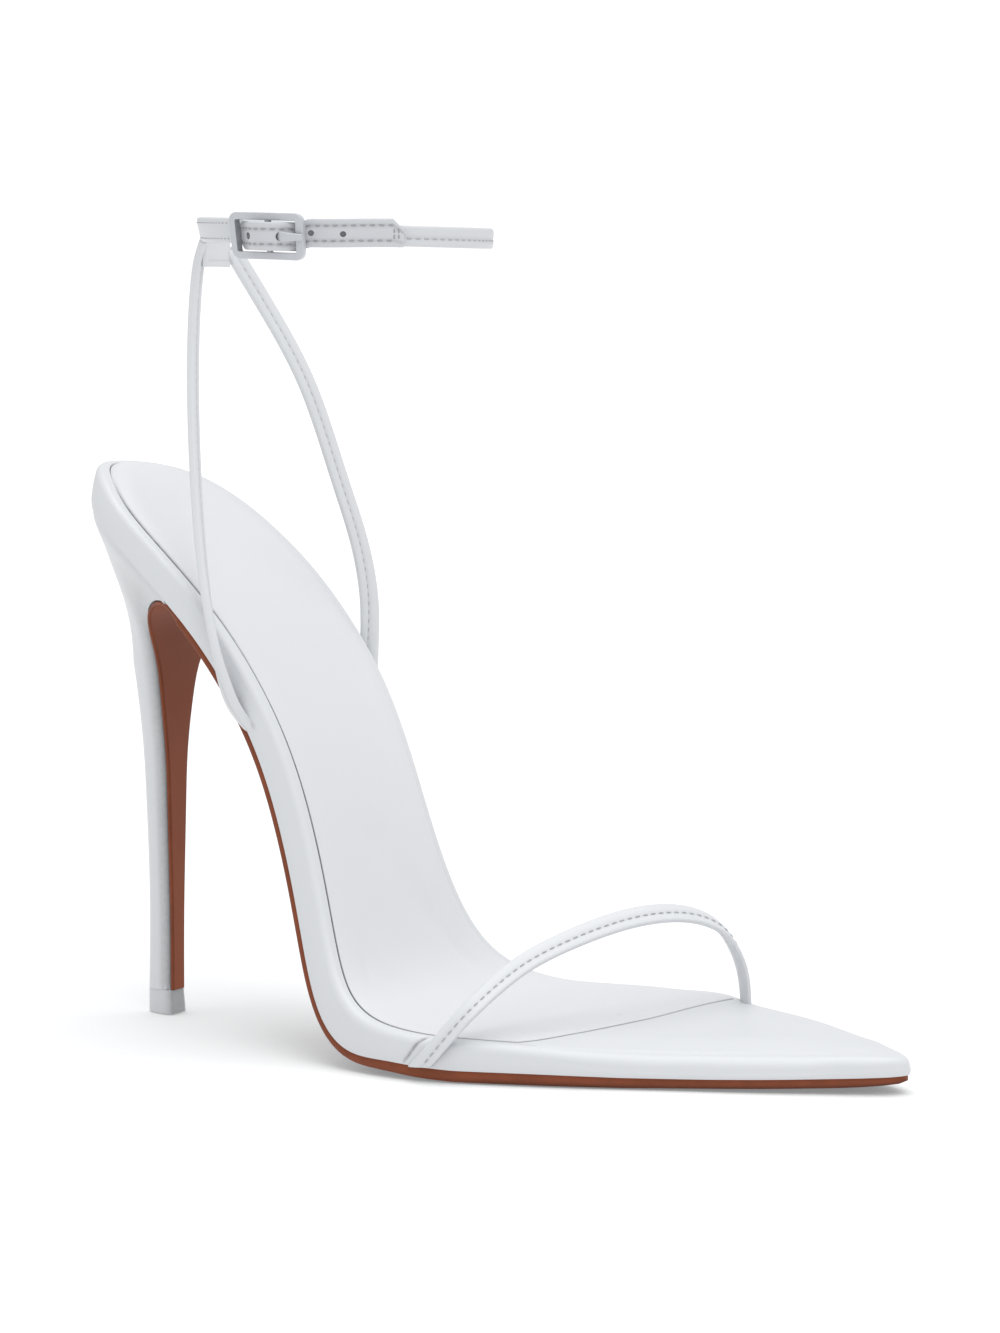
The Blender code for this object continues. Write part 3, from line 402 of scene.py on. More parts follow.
@dataclass
class Last:
    """The form that the footbed follows: its profile along the shoe and its outline in plan."""

    profile_table: Table = (
        # x, z
        (-24, 126.8), (-16, 126.0), (-6, 123.6), (6, 116.2), (18, 106.7), (30, 95.0), (42, 79.4),
        (54, 58.6), (63, 38.2), (71, 22.0), (80, 13.4), (92, 10.1), (106, 9.0), (134, 9.0),
        (155, 9.5), (180, 10.4), (200, 11.6),
    )
    plan_table: Table = (
        # x, lateral y, medial y, width of the lateral rim beside the sock, of the medial rim
        (-12.6, -7.6, 8.0, 3.0, 3.0), (-5.8, -15.9, 16.0, 3.0, 3.0), (4, -23.2, 22.8, 3.0, 3.0),
        (16, -25.9, 25.6, 3.0, 3.0), (30, -25.6, 26.0, 3.0, 3.0), (44, -24.0, 23.6, 3.1, 3.0),
        (58, -26.4, 18.0, 3.1, 3.0), (70, -33.6, 16.6, 3.1, 3.0), (82, -37.4, 23.6, 3.2, 3.2),
        (94, -37.2, 33.6, 3.2, 3.4), (108, -33.0, 40.2, 3.4, 3.6), (124, -26.8, 39.7, 4.0, 3.8),
        (142, -18.6, 32.2, 4.0, 4.0), (160, -10.8, 22.8, 4.0, 4.0), (174, -3.8, 14.3, 4.0, 4.0),
    )
    sock_front_table: Table = (
        # y, x
        (-36, 88.0), (-33, 99.0), (-31, 106.5), (-27.5, 111.5), (-19, 116.2), (-8, 119.4), (5, 122.0),
        (19, 125.0), (29, 127.9), (34, 129.3), (40, 130.6),
    )
    heel_back_x: float = -15.2
    heel_rim: float = 3.0
    toe_tip: tuple[float, float] = (185.9, 5.0)  # x, y
    toe_round: float = 2.8
    toe_pivot: float = 9.0  # insets at the tip aim at a point this far behind it
    toe_fan: float = 18.0  # length over which they turn towards that point
    toe_taper_from: float = 150.0
    toe_taper: float = 3.0
    toe_taper_power: float = 2.2
    inner_lift_table: Table = (
        # x, how much higher the inner side of the forefoot stands
        (92, 0.0), (104, 0.25), (114, 0.8), (123, 1.2), (128.5, 1.05), (133, 0.55), (140, 0.3), (152, 0.2),
        (170, 0.0),
    )
    inner_lift_y: tuple[float, float] = (6.0, 36.0)
    board_thick: float = 6.4
    board_grown: float = 0.5  # how much thicker the board is under the toes
    board_grown_from: float = 112.0
    board_grown_run: float = 40.0
    ball_full: float = 1.9  # how much thicker it is behind the ball
    ball_at: float = 81.0
    ball_run: float = 8.0
    outer_drop_table: Table = (
        # x, how much lower the outer edge of the toe lies
        (100, 0.0), (112, 0.6), (126, 1.5), (140, 2.1), (156, 2.2), (168, 1.8), (177, 0.9), (183, 0.2), (187, 0),
    )
    outer_drop_run: float = 14.0
    outer_drop_share: float = 0.5  # it is kept to this share of the width
    ball_slant: float = 0.19  # how far the ball line leans forward to the inner side
    slant_from: float = 27.0
    slant_run: float = 48.0
    slant_fade_from: float = 110.0
    slant_fade_run: float = 40.0
    flat_top: float = 9.0
    steps: int = 26  # points of the outline between two rows of the table

    def __post_init__(self) -> None:
        """Works out the profile, the unrolled length and the outline."""
        self.profile = SmoothCurve.of_table(self.profile_table)
        self.sock_front = SmoothCurve.of_table(self.sock_front_table)
        self.inner_lift = SmoothCurve.of_table(self.inner_lift_table)
        self.run_x = self.profile.spread(RUN_SAMPLES)
        strides = np.hypot(np.diff(self.run_x), np.diff(self.profile.at(self.run_x)[:, 0]))
        self.run = np.concatenate([[0.0], np.cumsum(strides)])
        self.plan, self.rim = self._outline()
        self.half = len(self.plan) // 2

    def _outline(self) -> tuple[Array, Array]:
        """Draws the closed outline from the heel's back by the lateral side, the toe and the medial side.

        Returns:
            Plan points of the outline, and the width of the rim at each.
        """
        rows = np.array(self.plan_table, float)
        tip_x, tip_y = self.toe_tip
        shoulder = tip_x - self.toe_round / 2
        toe = [(shoulder, tip_y - self.toe_round), self.toe_tip, (shoulder, tip_y + self.toe_round)]
        points = np.vstack([[(self.heel_back_x, 0.0)], rows[:, [0, 1]], toe, rows[::-1, [0, 2]]])
        curve = SmoothCurve(points, closed=True)
        toe_rim = rows[-1, [3, 3, 4]]
        rim = np.concatenate([[self.heel_rim], rows[:, 3], toe_rim, rows[::-1, 4], [self.heel_rim]])
        share = np.arange(self.steps) / self.steps
        knots = (curve.knots[:-1, None] + curve.steps[:, None] * share).ravel()
        return curve.at(knots), np.interp(knots, curve.knots, rim)

    def inset(self, distance: Array | float) -> Array:
        """Outline moved inwards on the unrolled surface, square to itself and fanned out round the toe tip.

        Args:
            distance: how far, one value or one for each point of the outline.

        Returns:
            Plan points of the moved outline.
        """
        x = self.plan[:, 0]
        flat = np.stack([np.interp(x, self.run_x, self.run), self.plan[:, 1]], -1)
        along = np.roll(flat, -1, axis=0) - np.roll(flat, 1, axis=0)
        inward = unit(np.stack([-along[:, 1], along[:, 0]], -1))
        pivot = [np.interp(self.toe_tip[0] - self.toe_pivot, self.run_x, self.run), self.toe_tip[1]]
        near_tip = ease((x - self.toe_tip[0] + self.toe_fan) / (self.toe_fan - self.toe_pivot))[:, None]
        inward = unit(blend(inward, unit(np.array(pivot) - flat), near_tip))
        flat = flat + np.reshape(distance, (-1, 1)) * inward
        return np.stack([np.interp(flat[:, 0], self.run, self.run_x), flat[:, 1]], -1)

    def place(self, plan: Array) -> Array:
        """Places along the profile, which lean forward to the inner side with the ball line.

        Args:
            plan: plan points.

        Returns:
            The x at which the profile gives each point's height.
        """
        x, y = plan[..., 0], plan[..., 1]
        slant = self.ball_slant * ramp(x, self.slant_from, self.slant_run)
        return x - slant * (1 - ramp(x, self.slant_fade_from, self.slant_fade_run)) * y

    def surface(self, plan: Array, down: Array | float) -> Array:
        """Points under the top surface, moved down square to its slope along the shoe.

        Args:
            plan: plan points.
            down: depth under the surface, one value or one for each point.

        Returns:
            Points in millimetres.
        """
        x, y = plan[..., 0], plan[..., 1]
        place = self.place(plan)
        z = self.profile.at(place)[..., 0]
        slope = np.where(z > self.flat_top, self.profile.slope(place)[..., 0], 0.0)
        z = np.maximum(z, self.flat_top)
        length = np.sqrt(1 + slope**2)
        return np.stack([x + down * slope / length, y, z - down / length], -1)

    def taper(self, plan: Array) -> Array:
        """How much lower the footbed's top lies than the profile.

        It falls with a power of the distance towards the toe tip and towards the toe's outer edge, and the inner side
        of the forefoot stands higher.

        Args:
            plan: plan points.

        Returns:
            Depths in millimetres, negative where the top stands higher.
        """
        x, y = plan[..., 0], plan[..., 1]
        share = np.clip((x - self.toe_taper_from) / (self.toe_tip[0] - self.toe_taper_from), 0, 1)
        low, high = self.inner_lift_y
        lift = self.inner_lift.at(x)[..., 0] * ramp(y, low, high - low)
        sides = np.array([row[:3] for row in self.plan_table] + [(*self.toe_tip, self.toe_tip[1])], float)
        outer, inner = (np.interp(x, sides[:, 0], sides[:, k]) for k in (1, 2))
        run = np.clip(self.outer_drop_share * (inner - outer), 1.0, self.outer_drop_run)
        drop = read_off(self.outer_drop_table, x) * (1 - ramp(y, outer, run))
        return self.toe_taper * share**self.toe_taper_power + drop - lift

    def grown(self, plan: Array) -> Array:
        """How much thicker the board is towards the toe."""
        return self.board_grown * ramp(plan[..., 0], self.board_grown_from, self.board_grown_run)

    def under(self, plan: Array) -> Array:
        """Depth of the board's underside, with a bell-shaped fullness behind the ball."""
        fuller = self.ball_full * np.exp(-((self.place(plan) - self.ball_at) / self.ball_run)**2)
        return self.board_thick + self.grown(plan) + fuller

    def sock(self, extra: float) -> Array:
        """Outline of the sock, inside the rim and cut off behind the toes by its front edge.

        Args:
            extra: how much further inside.

        Returns:
            Plan points, as many as the footbed's outline has.
        """
        ring = self.inset(self.rim + extra)
        beyond = np.flatnonzero(ring[:, 0] > self.sock_front.at(ring[:, 1])[:, 0] - extra)
        first, last = beyond[0], beyond[-1]
        y = np.linspace(ring[first, 1], ring[last, 1], last - first + 1)
        ring[first:last + 1] = np.stack([self.sock_front.at(y)[:, 0] - extra, y], -1)
        return ring


@dataclass
class Footbed:
    """Leather-wrapped insole board with its rounded rim, and the padded sock let into it."""

    last: Last
    leather: "Finish"
    lining: "Finish"
    top_round_table: Table = (
        # x, radius of the rim's upper edge
        (-16, 1.5), (56, 1.5), (84, 2.3), (110, 2.5), (138, 3.2), (164, 3.3), (178, 2.6), (187, 2.0),
    )
    least_side: float = 0.8  # height of the rim's side that the rounding leaves
    foot_round: float = 0.1
    bulge: float = 0.18  # fullness of the rim's side over the board
    lip_round: float = 0.32  # edge of the rim beside the sock
    pocket: float = 1.5
    crown: float = 0.9  # padding of the sock over the rim, at the heel
    crown_at_ball: float = 0.45
    roll_at_heel: float = 1.0  # how far the sock's edge rolls down at the heel
    roll_at_ball: float = 0.1
    roll_fade: Span = (15.0, 60.0)
    roll_share: float = 0.6  # how much of the padding the edge takes down with it
    roll_shade: float = 0.35  # depth at which the rolled edge is fully in painted shade
    wall_share: float = 0.65  # height of the ring half way up the sock's wall
    fuller_table: Table = (
        # distance from the sock's edge, how much higher the inner side stands
        (0.3, 0.5), (0.8, 0.6), (2.8, 0.4), (8.0, 0.0),
    )
    fuller_y: float = 15.0  # it grows from nothing to full between this far each side of the middle
    fuller_fade: Span = (104.0, 18.0)
    groove_shades: Sequence[float] = (0.2, 0.8, 2.4, 2.6)  # painted shade of the last rings, from the lip into the pocket
    groove_heel: Span = (-6.0, 13.0)  # along the shoe, where the groove's painted shade starts
    groove_ball: Span = (84.0, 16.0)  # where it lightens again
    groove_ball_loss: float = 0.6
    groove_inner: Span = (4.0, 10.0)  # across the shoe, where it lightens
    groove_inner_loss: float = 0.85
    quarter_points: int = 10
    side_rings: int = 7
    top_rings: int = 17
    wall_ring: int = 6  # a ring on the rim's side
    under_columns: int = 12
    pocket_columns: int = 8
    sock_columns: int = 40
    edge_steps: Sequence[float] = (0.22, 0.25, 0.34, 0.52, 0.8, 1.25, 1.9, 2.7, 3.7, 4.9, 6.4)
    creases: Sequence[Crease] = (
        # where the toe strap goes in at the outer side and at the inner side, and where the sling goes in, with painted
        # shade in their bottoms
        Crease(((88.8, -37.6, 4.0), (89.9, -37.7, 5.2), (91.5, -37.4, 7.6), (93.4, -36.0, 9.4), (95.6, -34.6, 10.1)),
               depth=0.4, width=0.3, dark=3.4),
        Crease(((129.9, 35.4, 10.1), (131.2, 34.2, 10.1), (132.6, 32.7, 10.1)), depth=0.4, width=0.5, dark=2.4),
        Crease(((37.4, -25.4, 74.8), (39.2, -25.0, 72.4), (41.0, -24.6, 70.8)), depth=0.35, width=0.6, dark=2.2),
    )
    sock_creases: Sequence[Crease] = (
        # soft hollows where the sock bends at the ball
        Crease(((60.0, -4.0, 44.0), (67.0, 2.0, 31.0), (75.0, 9.0, 20.0)), depth=0.35, width=5.0),
        Crease(((70.0, -22.0, 21.0), (78.0, -14.0, 14.0)), depth=0.25, width=4.0),
    )

    def rim_rings(self) -> Array:
        """Rings from the underside up the wall, over the rounded top and down into the sock's pocket.

        Each ring is the outline moved in by one distance and down by another: a quarter circle at the foot, a
        sine-shaped bulge up the side, a quarter circle at the top, straight shares across to the pocket's lip, a
        small quarter circle there, and the pocket's wall.

        Returns:
            Array of shape (rings, outline points, 3).
        """
        last = self.last
        taper = last.taper(last.plan)
        rounding = read_off(self.top_round_table, last.plan[:, 0])
        rounding = np.minimum(rounding, last.under(last.plan) - taper - self.least_side)
        quarter = np.linspace(0, np.pi / 2, self.quarter_points)
        rings = []
        for angle in quarter[::2]:
            plan = last.inset(self.foot_round * (1 - np.sin(angle)))
            rings.append(last.surface(plan, last.under(plan) - self.foot_round * (1 - np.cos(angle))))
        for share in np.linspace(0, 1, self.side_rings + 2)[1:-1]:
            down = blend(last.under(last.plan) - self.foot_round, rounding + taper, share)
            rings.append(last.surface(last.inset(-self.bulge * np.sin(np.pi * share)), down))
        for angle in quarter:
            plan = last.inset(rounding * (1 - np.cos(angle)))
            rings.append(last.surface(plan, rounding * (1 - np.sin(angle)) + taper))
        rim, lip = last.inset(rounding), last.sock(-self.lip_round)
        for share in np.linspace(0, 1, self.top_rings + 1)[1:]:
            plan = blend(rim, lip, share)
            rings.append(last.surface(plan, last.taper(plan)))
        for angle in quarter[1::2]:
            plan = last.sock(-self.lip_round * (1 - np.sin(angle)))
            rings.append(last.surface(plan, last.taper(plan) + self.lip_round * (1 - np.cos(angle))))
        rings.append(last.surface(last.sock(0.0), self.pocket))
        return np.stack(rings)

    def build_board(self) -> None:
        """Wrapped board: the rim's rings with the creases pressed in, closed underneath and in the pocket."""
        last, rings = self.last, self.rim_rings()
        normals = grid_normals(rings, round_columns=True)
        push, dark = Crease.together(self.creases, rings)
        push[[0, -1]] = 0.0
        rings = rings - normals * push[..., None] * self.outward_sign(rings, normals)
        piece = Piece("footbed_board")
        # Painted shade: in the groove round the sock, in the creases, and over the whole hidden underside and pocket
        # floor.
        seam = np.zeros(rings.shape[:2])
        seam[-len(self.groove_shades):] = np.array(self.groove_shades)[:, None] * self.groove_shade(last.sock(0.0))
        seam = np.maximum(seam, dark)
        piece.grid(rings, round_columns=True, seam=seam, rub=np.clip(push, 0, 1))
        under = fill_rows(last.inset(self.foot_round), self.under_columns)
        piece.grid(last.surface(under, last.under(under)), seam=1.0)
        floor = fill_rows(last.sock(0.0), self.pocket_columns)
        piece.grid(last.surface(floor, self.pocket), seam=1.0)
        board = piece.build(self.leather)
        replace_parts(board, "footbed")

    def outward_sign(self, rings: Array, normals: Array) -> float:
        """1 where the grid's normals point out of the board and -1 where they point in."""
        wall = rings[self.wall_ring] - rings[self.wall_ring].mean(axis=0)
        return float(np.sign(np.sum(wall * normals[self.wall_ring])))

    def sock_depth(self, plan: Array, edge: Array | float) -> Array:
        """Depth of the sock's top under the footbed's surface, negative where it stands over it.

        The edge rolls down with the third power of the distance that is left to the padded middle, deeper at the
        heel than at the ball, and the inner side stands fuller.

        Args:
            plan: plan points.
            edge: their distance from the sock's outline.

        Returns:
            Depths in millimetres.
        """
        x, y = plan[..., 0], plan[..., 1]
        from_heel = ramp(x, self.roll_fade[0], self.roll_fade[1] - self.roll_fade[0])
        roll = self.roll_at_heel + (self.roll_at_ball - self.roll_at_heel) * from_heel
        crown = self.crown + (self.crown_at_ball - self.crown) * from_heel
        left = np.clip(1 - edge / self.edge_steps[-1], 0, 1)
        inner = (1 + np.clip(y / self.fuller_y, -1, 1)) / 2
        fuller = read_off(self.fuller_table, edge) * inner * (1 - ramp(x, *self.fuller_fade))
        return self.last.taper(plan) - crown + (roll + crown * self.roll_share) * left**3 - fuller

    def groove_shade(self, plan: Array) -> Array:
        """How much shade is painted into the groove round the sock: faint at the heel's back, at the front edge and at
        the inner side.

        Args:
            plan: plan points.

        Returns:
            Shades from 0 to 1, one for each point.
        """
        x, y = plan[..., 0], plan[..., 1]
        at_front = 1 - self.groove_ball_loss * ramp(x, *self.groove_ball)
        return ramp(x, *self.groove_heel) * at_front * (1 - self.groove_inner_loss * ramp(y, *self.groove_inner))

    def build_sock(self) -> None:
        """Padded sock: rings over its rolled edge and rows from side to side across its crowned top."""
        last = self.last
        piece = Piece("padded_sock")
        foot = last.sock(self.edge_steps[0])
        rings, shades = [last.surface(foot, self.pocket - GAP)], []
        for edge in self.edge_steps:
            plan = last.sock(edge)
            depth = self.sock_depth(plan, edge)
            rings.append(last.surface(plan, depth))
            shades.append(ease((depth - last.taper(plan)) / self.roll_shade))
        rings.insert(1, blend(rings[0], rings[1], self.wall_share))
        # Painted shade on the sock's wall and its rolled-down edge, scaled like the groove's.
        seam = np.stack([np.ones(len(foot))] * 2 + shades) * self.groove_shade(foot)
        piece.grid(np.stack(rings), round_columns=True, seam=seam)
        top = fill_rows(last.sock(self.edge_steps[-1]), self.sock_columns)
        depth = self.sock_depth(top, self.edge_steps[-1])
        push, _ = Crease.together(self.sock_creases, last.surface(top, depth))
        push[:, [0, -1]] = 0.0
        piece.grid(last.surface(top, depth + push))
        # the sock's underside is painted fully in shade
        piece.grid(last.surface(fill_rows(foot, self.pocket_columns), self.pocket - GAP), seam=1.0)
        sock = piece.build(self.lining)
        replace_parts(sock, "insole")


@dataclass
class HeelUnit:
    """Brown leather outsole that runs down the heel breast, the covered heel and its top piece."""

    last: Last
    leather: "Finish"
    sole: "Finish"
    plastic: "Finish"
    top_piece_front: float = 3.4  # front of the top piece's box ahead of the heel tip's middle
    sole_forefoot: float = 2.6
    sole_waist: float = 1.9
    sole_breast: float = 0.8
    sole_inset: float = 0.5
    sole_toe_run: float = 15.0  # length over which the outsole's end rounds up at the toe
    sole_toe_share: float = 0.5  # how much of its thickness goes there
    sole_tip_run: float = 1.8  # length of its rounded tip
    sole_tip_share: float = 0.85
    sole_thins: float = 0.12  # share of the breast over which it gets as thin as it is there
    sole_columns: int = 41
    sole_breast_rows: int = 130
    edge_room: float = 6.0  # rows narrower than this have a flatter edge
    edge_dark: Span = (0.55, 0.3)  # share of the edge's height at which its painted shade starts, and its run
    edge_dark_x: Span = (92.0, 20.0)
    skive_from: float = 66.0
    skive_run: float = 28.0
    turn_x: float = 27.0
    flap_inset: float = 0.6
    breast_table: Table = (
        # x, z, half width of the heel's breast
        (19.2, 95.9, 24.4), (15.2, 96.7, 22.9), (11.0, 95.8, 20.0), (7.6, 93.2, 17.2), (5.6, 89.4, 14.2),
        (4.6, 85.4, 11.4), (3.8, 80.5, 8.6), (3.2, 71, 6.2), (3.0, 60, 4.5), (2.9, 46, 3.75),
        (2.8, 25, 2.95), (2.7, 5.5, 2.75),
    )
    breast_start: tuple[float, float] = (21.9, 93.9)  # x, z
    depth_table: Table = (
        # z, depth of the heel from the breast to the back
        (5.44, 6.9), (25, 6.6), (46, 7.1), (60, 7.8), (71, 8.7), (80.5, 10.0),
    )
    neck_z: float = 80.5
    seat_front: float = 23.2
    seat_inset: float = 0.12
    seat_lip: float = 1.8
    flare_power: float = 3.0
    flare_full: float = 2.5  # how much fuller the flare is than that power
    corner_round: float = 1.7
    edge_table: Table = (
        # how far in from the outsole's edge, share of its thickness down
        (0.0, 0.0), (-0.1, 0.15), (-0.16, 0.4), (-0.12, 0.65), (0.06, 0.86), (0.32, 0.97), (0.6, 1.0),
    )
    top_piece_corner: float = 0.7
    swell_across: float = 0.7  # how much of the swell goes to each side
    top_piece_table: Table = (
        # z, swell of the top piece's outline
        (0.0, 0.33), (0.06, 0.37), (0.14, 0.38), (2.6, 0.2), (5.2, 0.03), (5.36, 0.0), (5.4, -0.04),
    )
    # painted shade of the first points round the lateral corner, from the breast back; the top piece shares it
    edge_shade: Sequence[float] = (1.6, 1.6, 1.5, 1.4, 1.2, 1.0, 0.9, 0.8, 0.65, 0.5, 0.35, 0.25, 0.15, 0.05)
    edge_fade: float = 0.7  # how much of that painted shade is gone at the heel's top
    spacing_half: float = 8.6  # half width and depth of the section that spaces the points round the heel
    spacing_depth: float = 10.7
    lip_share: float = 0.6  # height of the ring between the flare and the seat
    upright_sections: int = 48
    flare_sections: int = 40
    cap_rings: int = 8
    back_points: int = 96
    breast_points: int = 15
    corner_points: int = 6

    def breast(self, start: Array, half_width: float) -> tuple[SmoothCurve, SmoothCurve]:
        """Curve in the middle plane from the footbed's underside down the breast.

        Args:
            start: x and z at which it leaves the underside.
            half_width: half the breast's width there.

        Returns:
            The curve, and the half widths along it.
        """
        rows = np.array(self.breast_table, float)
        path = SmoothCurve(np.vstack([start, rows[:, :2]]))
        return path, SmoothCurve(np.concatenate([[half_width], rows[:, 2]]), knots=path.knots)

    @staticmethod
    def breast_face(path: SmoothCurve, t: Array) -> Array:
        """Directions square to the breast, out of the heel."""
        along = unit(path.slope(t))
        return np.stack([-along[:, 1], np.zeros(len(t)), along[:, 0]], -1)

    def sole_rows(self, columns: int, breast_rows: int) -> tuple[Array, Array, Array]:
        """Rows across the outsole from the toe to the heel tip.

        Args:
            columns: points in each row.
            breast_rows: rows down the breast.

        Returns:
            Points of the upper face, directions to the lower face, and thicknesses, row by row.
        """
        last = self.last
        ring = last.inset(self.sole_inset)
        share = np.linspace(0, 1, columns)
        places = np.arange(last.half - 1, 0, -1)
        sides = np.stack([ring[places], ring[-places]], 1)
        sides = sides[sides[:, :, 0].min(axis=1) > self.turn_x]
        plan = blend(sides[:, :1], sides[:, 1:], share[:, None])
        grown = ramp(plan[..., 0], self.skive_from, self.skive_run)
        to_tip = last.toe_tip[0] - plan[..., 0]
        at_toe, at_tip = (np.clip(1 - to_tip / run, 0, 1) for run in (self.sole_toe_run, self.sole_tip_run))
        thick = self.sole_waist + (self.sole_forefoot - self.sole_waist) * grown - last.grown(plan) - JOINT
        thick = thick * np.sqrt((1 - self.sole_toe_share * at_toe**2) * (1 - self.sole_tip_share * at_tip**2))
        upper = last.surface(plan, last.under(plan) + JOINT)
        down = unit(last.surface(plan, last.under(plan) + 1.0) - last.surface(plan, last.under(plan)))
        start = upper[-1, columns // 2, [0, 2]]
        path, half_width = self.breast(start, -sides[-1, 0, 1])
        t = path.spread(breast_rows + 1)[1:]
        middle, face = path.at(t), self.breast_face(path, t)
        y = (half_width.at(t) - self.flap_inset) * (2 * share - 1)
        spread = np.ones_like(y)
        back = np.stack([middle[:, :1] * spread, y, middle[:, 1:] * spread], -1)
        upper = np.concatenate([upper, back])
        down = np.concatenate([down, np.broadcast_to(face[:, None], back.shape)])
        thin = np.broadcast_to(self.sole_breast, back.shape[:2])
        fade = ease(np.arange(breast_rows) / (self.sole_thins * breast_rows))[:, None]
        return upper, down, np.concatenate([thick, blend(thick[-1], thin, fade)])

    def build_outsole(self) -> None:
        """Leather sheet: each row is a closed loop over the upper face, round one edge, back below, round the other."""
        columns = self.sole_columns
        upper, down, thick = self.sole_rows(columns, self.sole_breast_rows)
        across = unit(upper[:, -1] - upper[:, 0])
        table = np.array(self.edge_table)
        inset, share = table[:, :1, None], table[:, 1:, None]
        room = np.linalg.norm(upper[:, -1] - upper[:, 0], axis=-1)
        inset = inset * np.clip(room / self.edge_room, 0, 1)[None, :, None]
        edges = []
        for side, sign in ((-1, -1.0), (0, 1.0)):
            depth = share * thick[None, :, side, None]
            edges.append(upper[None, :, side] + sign * inset * across + depth * down[None, :, side])
        lower = upper + down * thick[..., None]
        place = np.linspace(0, 1, columns)[None, :, None]
        straight = blend(edges[1][-1][:, None], edges[0][-1][:, None], place)
        lower = lower - blend(lower[:, :1], lower[:, -1:], place) + straight
        loop = [upper, np.moveaxis(edges[0], 0, 1)[:, 1:-1], lower[:, ::-1], np.moveaxis(edges[1], 0, 1)[:, -2:0:-1]]
        rows = np.concatenate(loop, axis=1)
        width = len(table) - 2
        rub, seam = np.zeros(rows.shape[:2]), np.zeros(rows.shape[:2])
        rub[:, columns:columns + width] = rub[:, -width:] = 1.0
        # Painted shade on the lower part of the edge, from the ball forwards.
        shade = np.clip((table[1:-1, 1] - self.edge_dark[0]) / self.edge_dark[1], 0, 1)
        shade = shade * ramp(upper[:, :1, 0], *self.edge_dark_x)
        seam[:, columns:columns + width], seam[:, -width:] = shade, shade[:, ::-1]
        piece = Piece("outsole_leather")
        piece.grid(rows, round_columns=True, seam=seam, rub=rub)
        for row, mask in ((rows[0], rub[0]), (rows[-1], rub[-1])):
            half = len(row) // 2
            strip = np.stack([row[:half], row[:half - 1:-1]])
            piece.grid(strip, rub=np.stack([mask[:half], mask[:half - 1:-1]]))
        sole = piece.build(self.sole)
        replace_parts(sole, "outsole")

    def section(self, front: float, half_width: float, depth: float, corner: float) -> Array:
        """D-shaped outline in plan: a half ellipse round the back, rounded corners and a flat breast.

        Args:
            front: x of the breast.
            half_width: half the width across the breast.
            depth: from the breast to the back.
            corner: radius of the corners.

        Returns:
            Plan points from the lateral corner round the back to the medial corner and along the breast.
        """
        angle = np.linspace(0, np.pi, self.back_points)
        back = np.stack([front - corner - (depth - corner) * np.sin(angle), -half_width * np.cos(angle)], -1)
        turn = np.linspace(0, np.pi / 2, self.corner_points + 1)[:-1]
        lateral = np.stack([front - corner + corner * np.cos(turn),
                            -(half_width - corner) - corner * np.sin(turn)], -1)
        medial = lateral[::-1] * [1, -1]
        y = np.linspace(half_width - corner, corner - half_width, self.breast_points + 2)[1:-1]
        breast = np.stack([np.full(self.breast_points, front), y], -1)
        return np.concatenate([lateral, back, medial, breast])

    def seat(self, fractions: Array) -> Array:
        """Top of the heel on the footbed's underside.

        Args:
            fractions: places round its back, from 0 at the lateral corner to 1 at the medial one.

        Returns:
            Points round the back and then along the breast.
        """
        last = self.last
        ring = last.inset(self.seat_inset)
        corners = []
        for side in (ring[:last.half], np.roll(ring, -last.half, axis=0)[::-1][:last.half]):
            corners.append([self.seat_front, np.interp(self.seat_front, side[:, 0], side[:, 1])])
        ring = np.roll(ring, last.half, axis=0)[::-1]
        seat = np.vstack([corners[0], ring[ring[:, 0] < self.seat_front], corners[1]])
        run = length_along(seat)
        back = points_on(seat, run, fractions * run[-1])
        share = np.linspace(0, 1, self.breast_points + 2)[1:-1, None]
        seat = np.concatenate([back, blend(back[-1], back[0], share)])
        return last.surface(seat, last.under(seat) + JOINT)

    def build_heel(self) -> None:
        """Covered heel: upright D-sections, then sections that tilt and flare into the heel seat.

        Above the neck a section is the neck's outline times one share plus the seat's outline times the rest, and
        it leans as its front edge follows the cove of the breast.
        """
        depth, corner = SmoothCurve.of_table(self.depth_table), self.corner_round
        spacing = self.section(0.0, self.spacing_half, self.spacing_depth, corner)[:-self.breast_points]
        lengths = length_along(spacing)
        seat = self.seat(lengths / lengths[-1])
        path, half_width = self.breast(np.array(self.breast_start), -seat[0, 1])
        t = path.spread(RUN_SAMPLES)
        front = path.at(t) - self.breast_face(path, t)[:, [0, 2]] * GAP
        width = half_width.at(t)[:, 0]
        sections = []
        for z in np.linspace(self.depth_table[0][0], self.neck_z, self.upright_sections):
            x = np.interp(z, front[::-1, 1], front[::-1, 0])
            half = np.interp(z, front[::-1, 1], width[::-1])
            outline = self.section(x, half, depth.at(z)[0], corner)
            sections.append(np.column_stack([outline, np.full(len(outline), z)]))
        neck = sections[-1]
        top = seat - np.array([0.0, 0.0, self.seat_lip])
        first = np.flatnonzero(front[:, 1] > self.neck_z)[-1]
        final = np.flatnonzero(front[:, 0] > top[0, 0])[-1]
        for share in np.linspace(0, 1, self.flare_sections + 1)[1:]:
            place = first + (final - first) * share
            x, z = points_on(front, np.arange(len(front)), place)
            flare = share**self.flare_power * (1 + self.flare_full * (1 - share))
            shape = blend(neck - [neck[:, 0].max(), 0, neck[0, 2]], top - [top[0, 0], 0, 0], flare)
            shape[:, 2] = (top[:, 2] - top[0, 2]) * share
            widest = blend(np.abs(shape[:, 1]).max(), np.abs(shape[0, 1]), flare)
            shape[:, 1] *= np.interp(place, np.arange(len(front)), width) / widest
            sections.append(shape + [x, 0.0, z])
        rings = np.stack([*sections, blend(top, seat, self.lip_share), seat])
        piece = Piece("heel_cover")
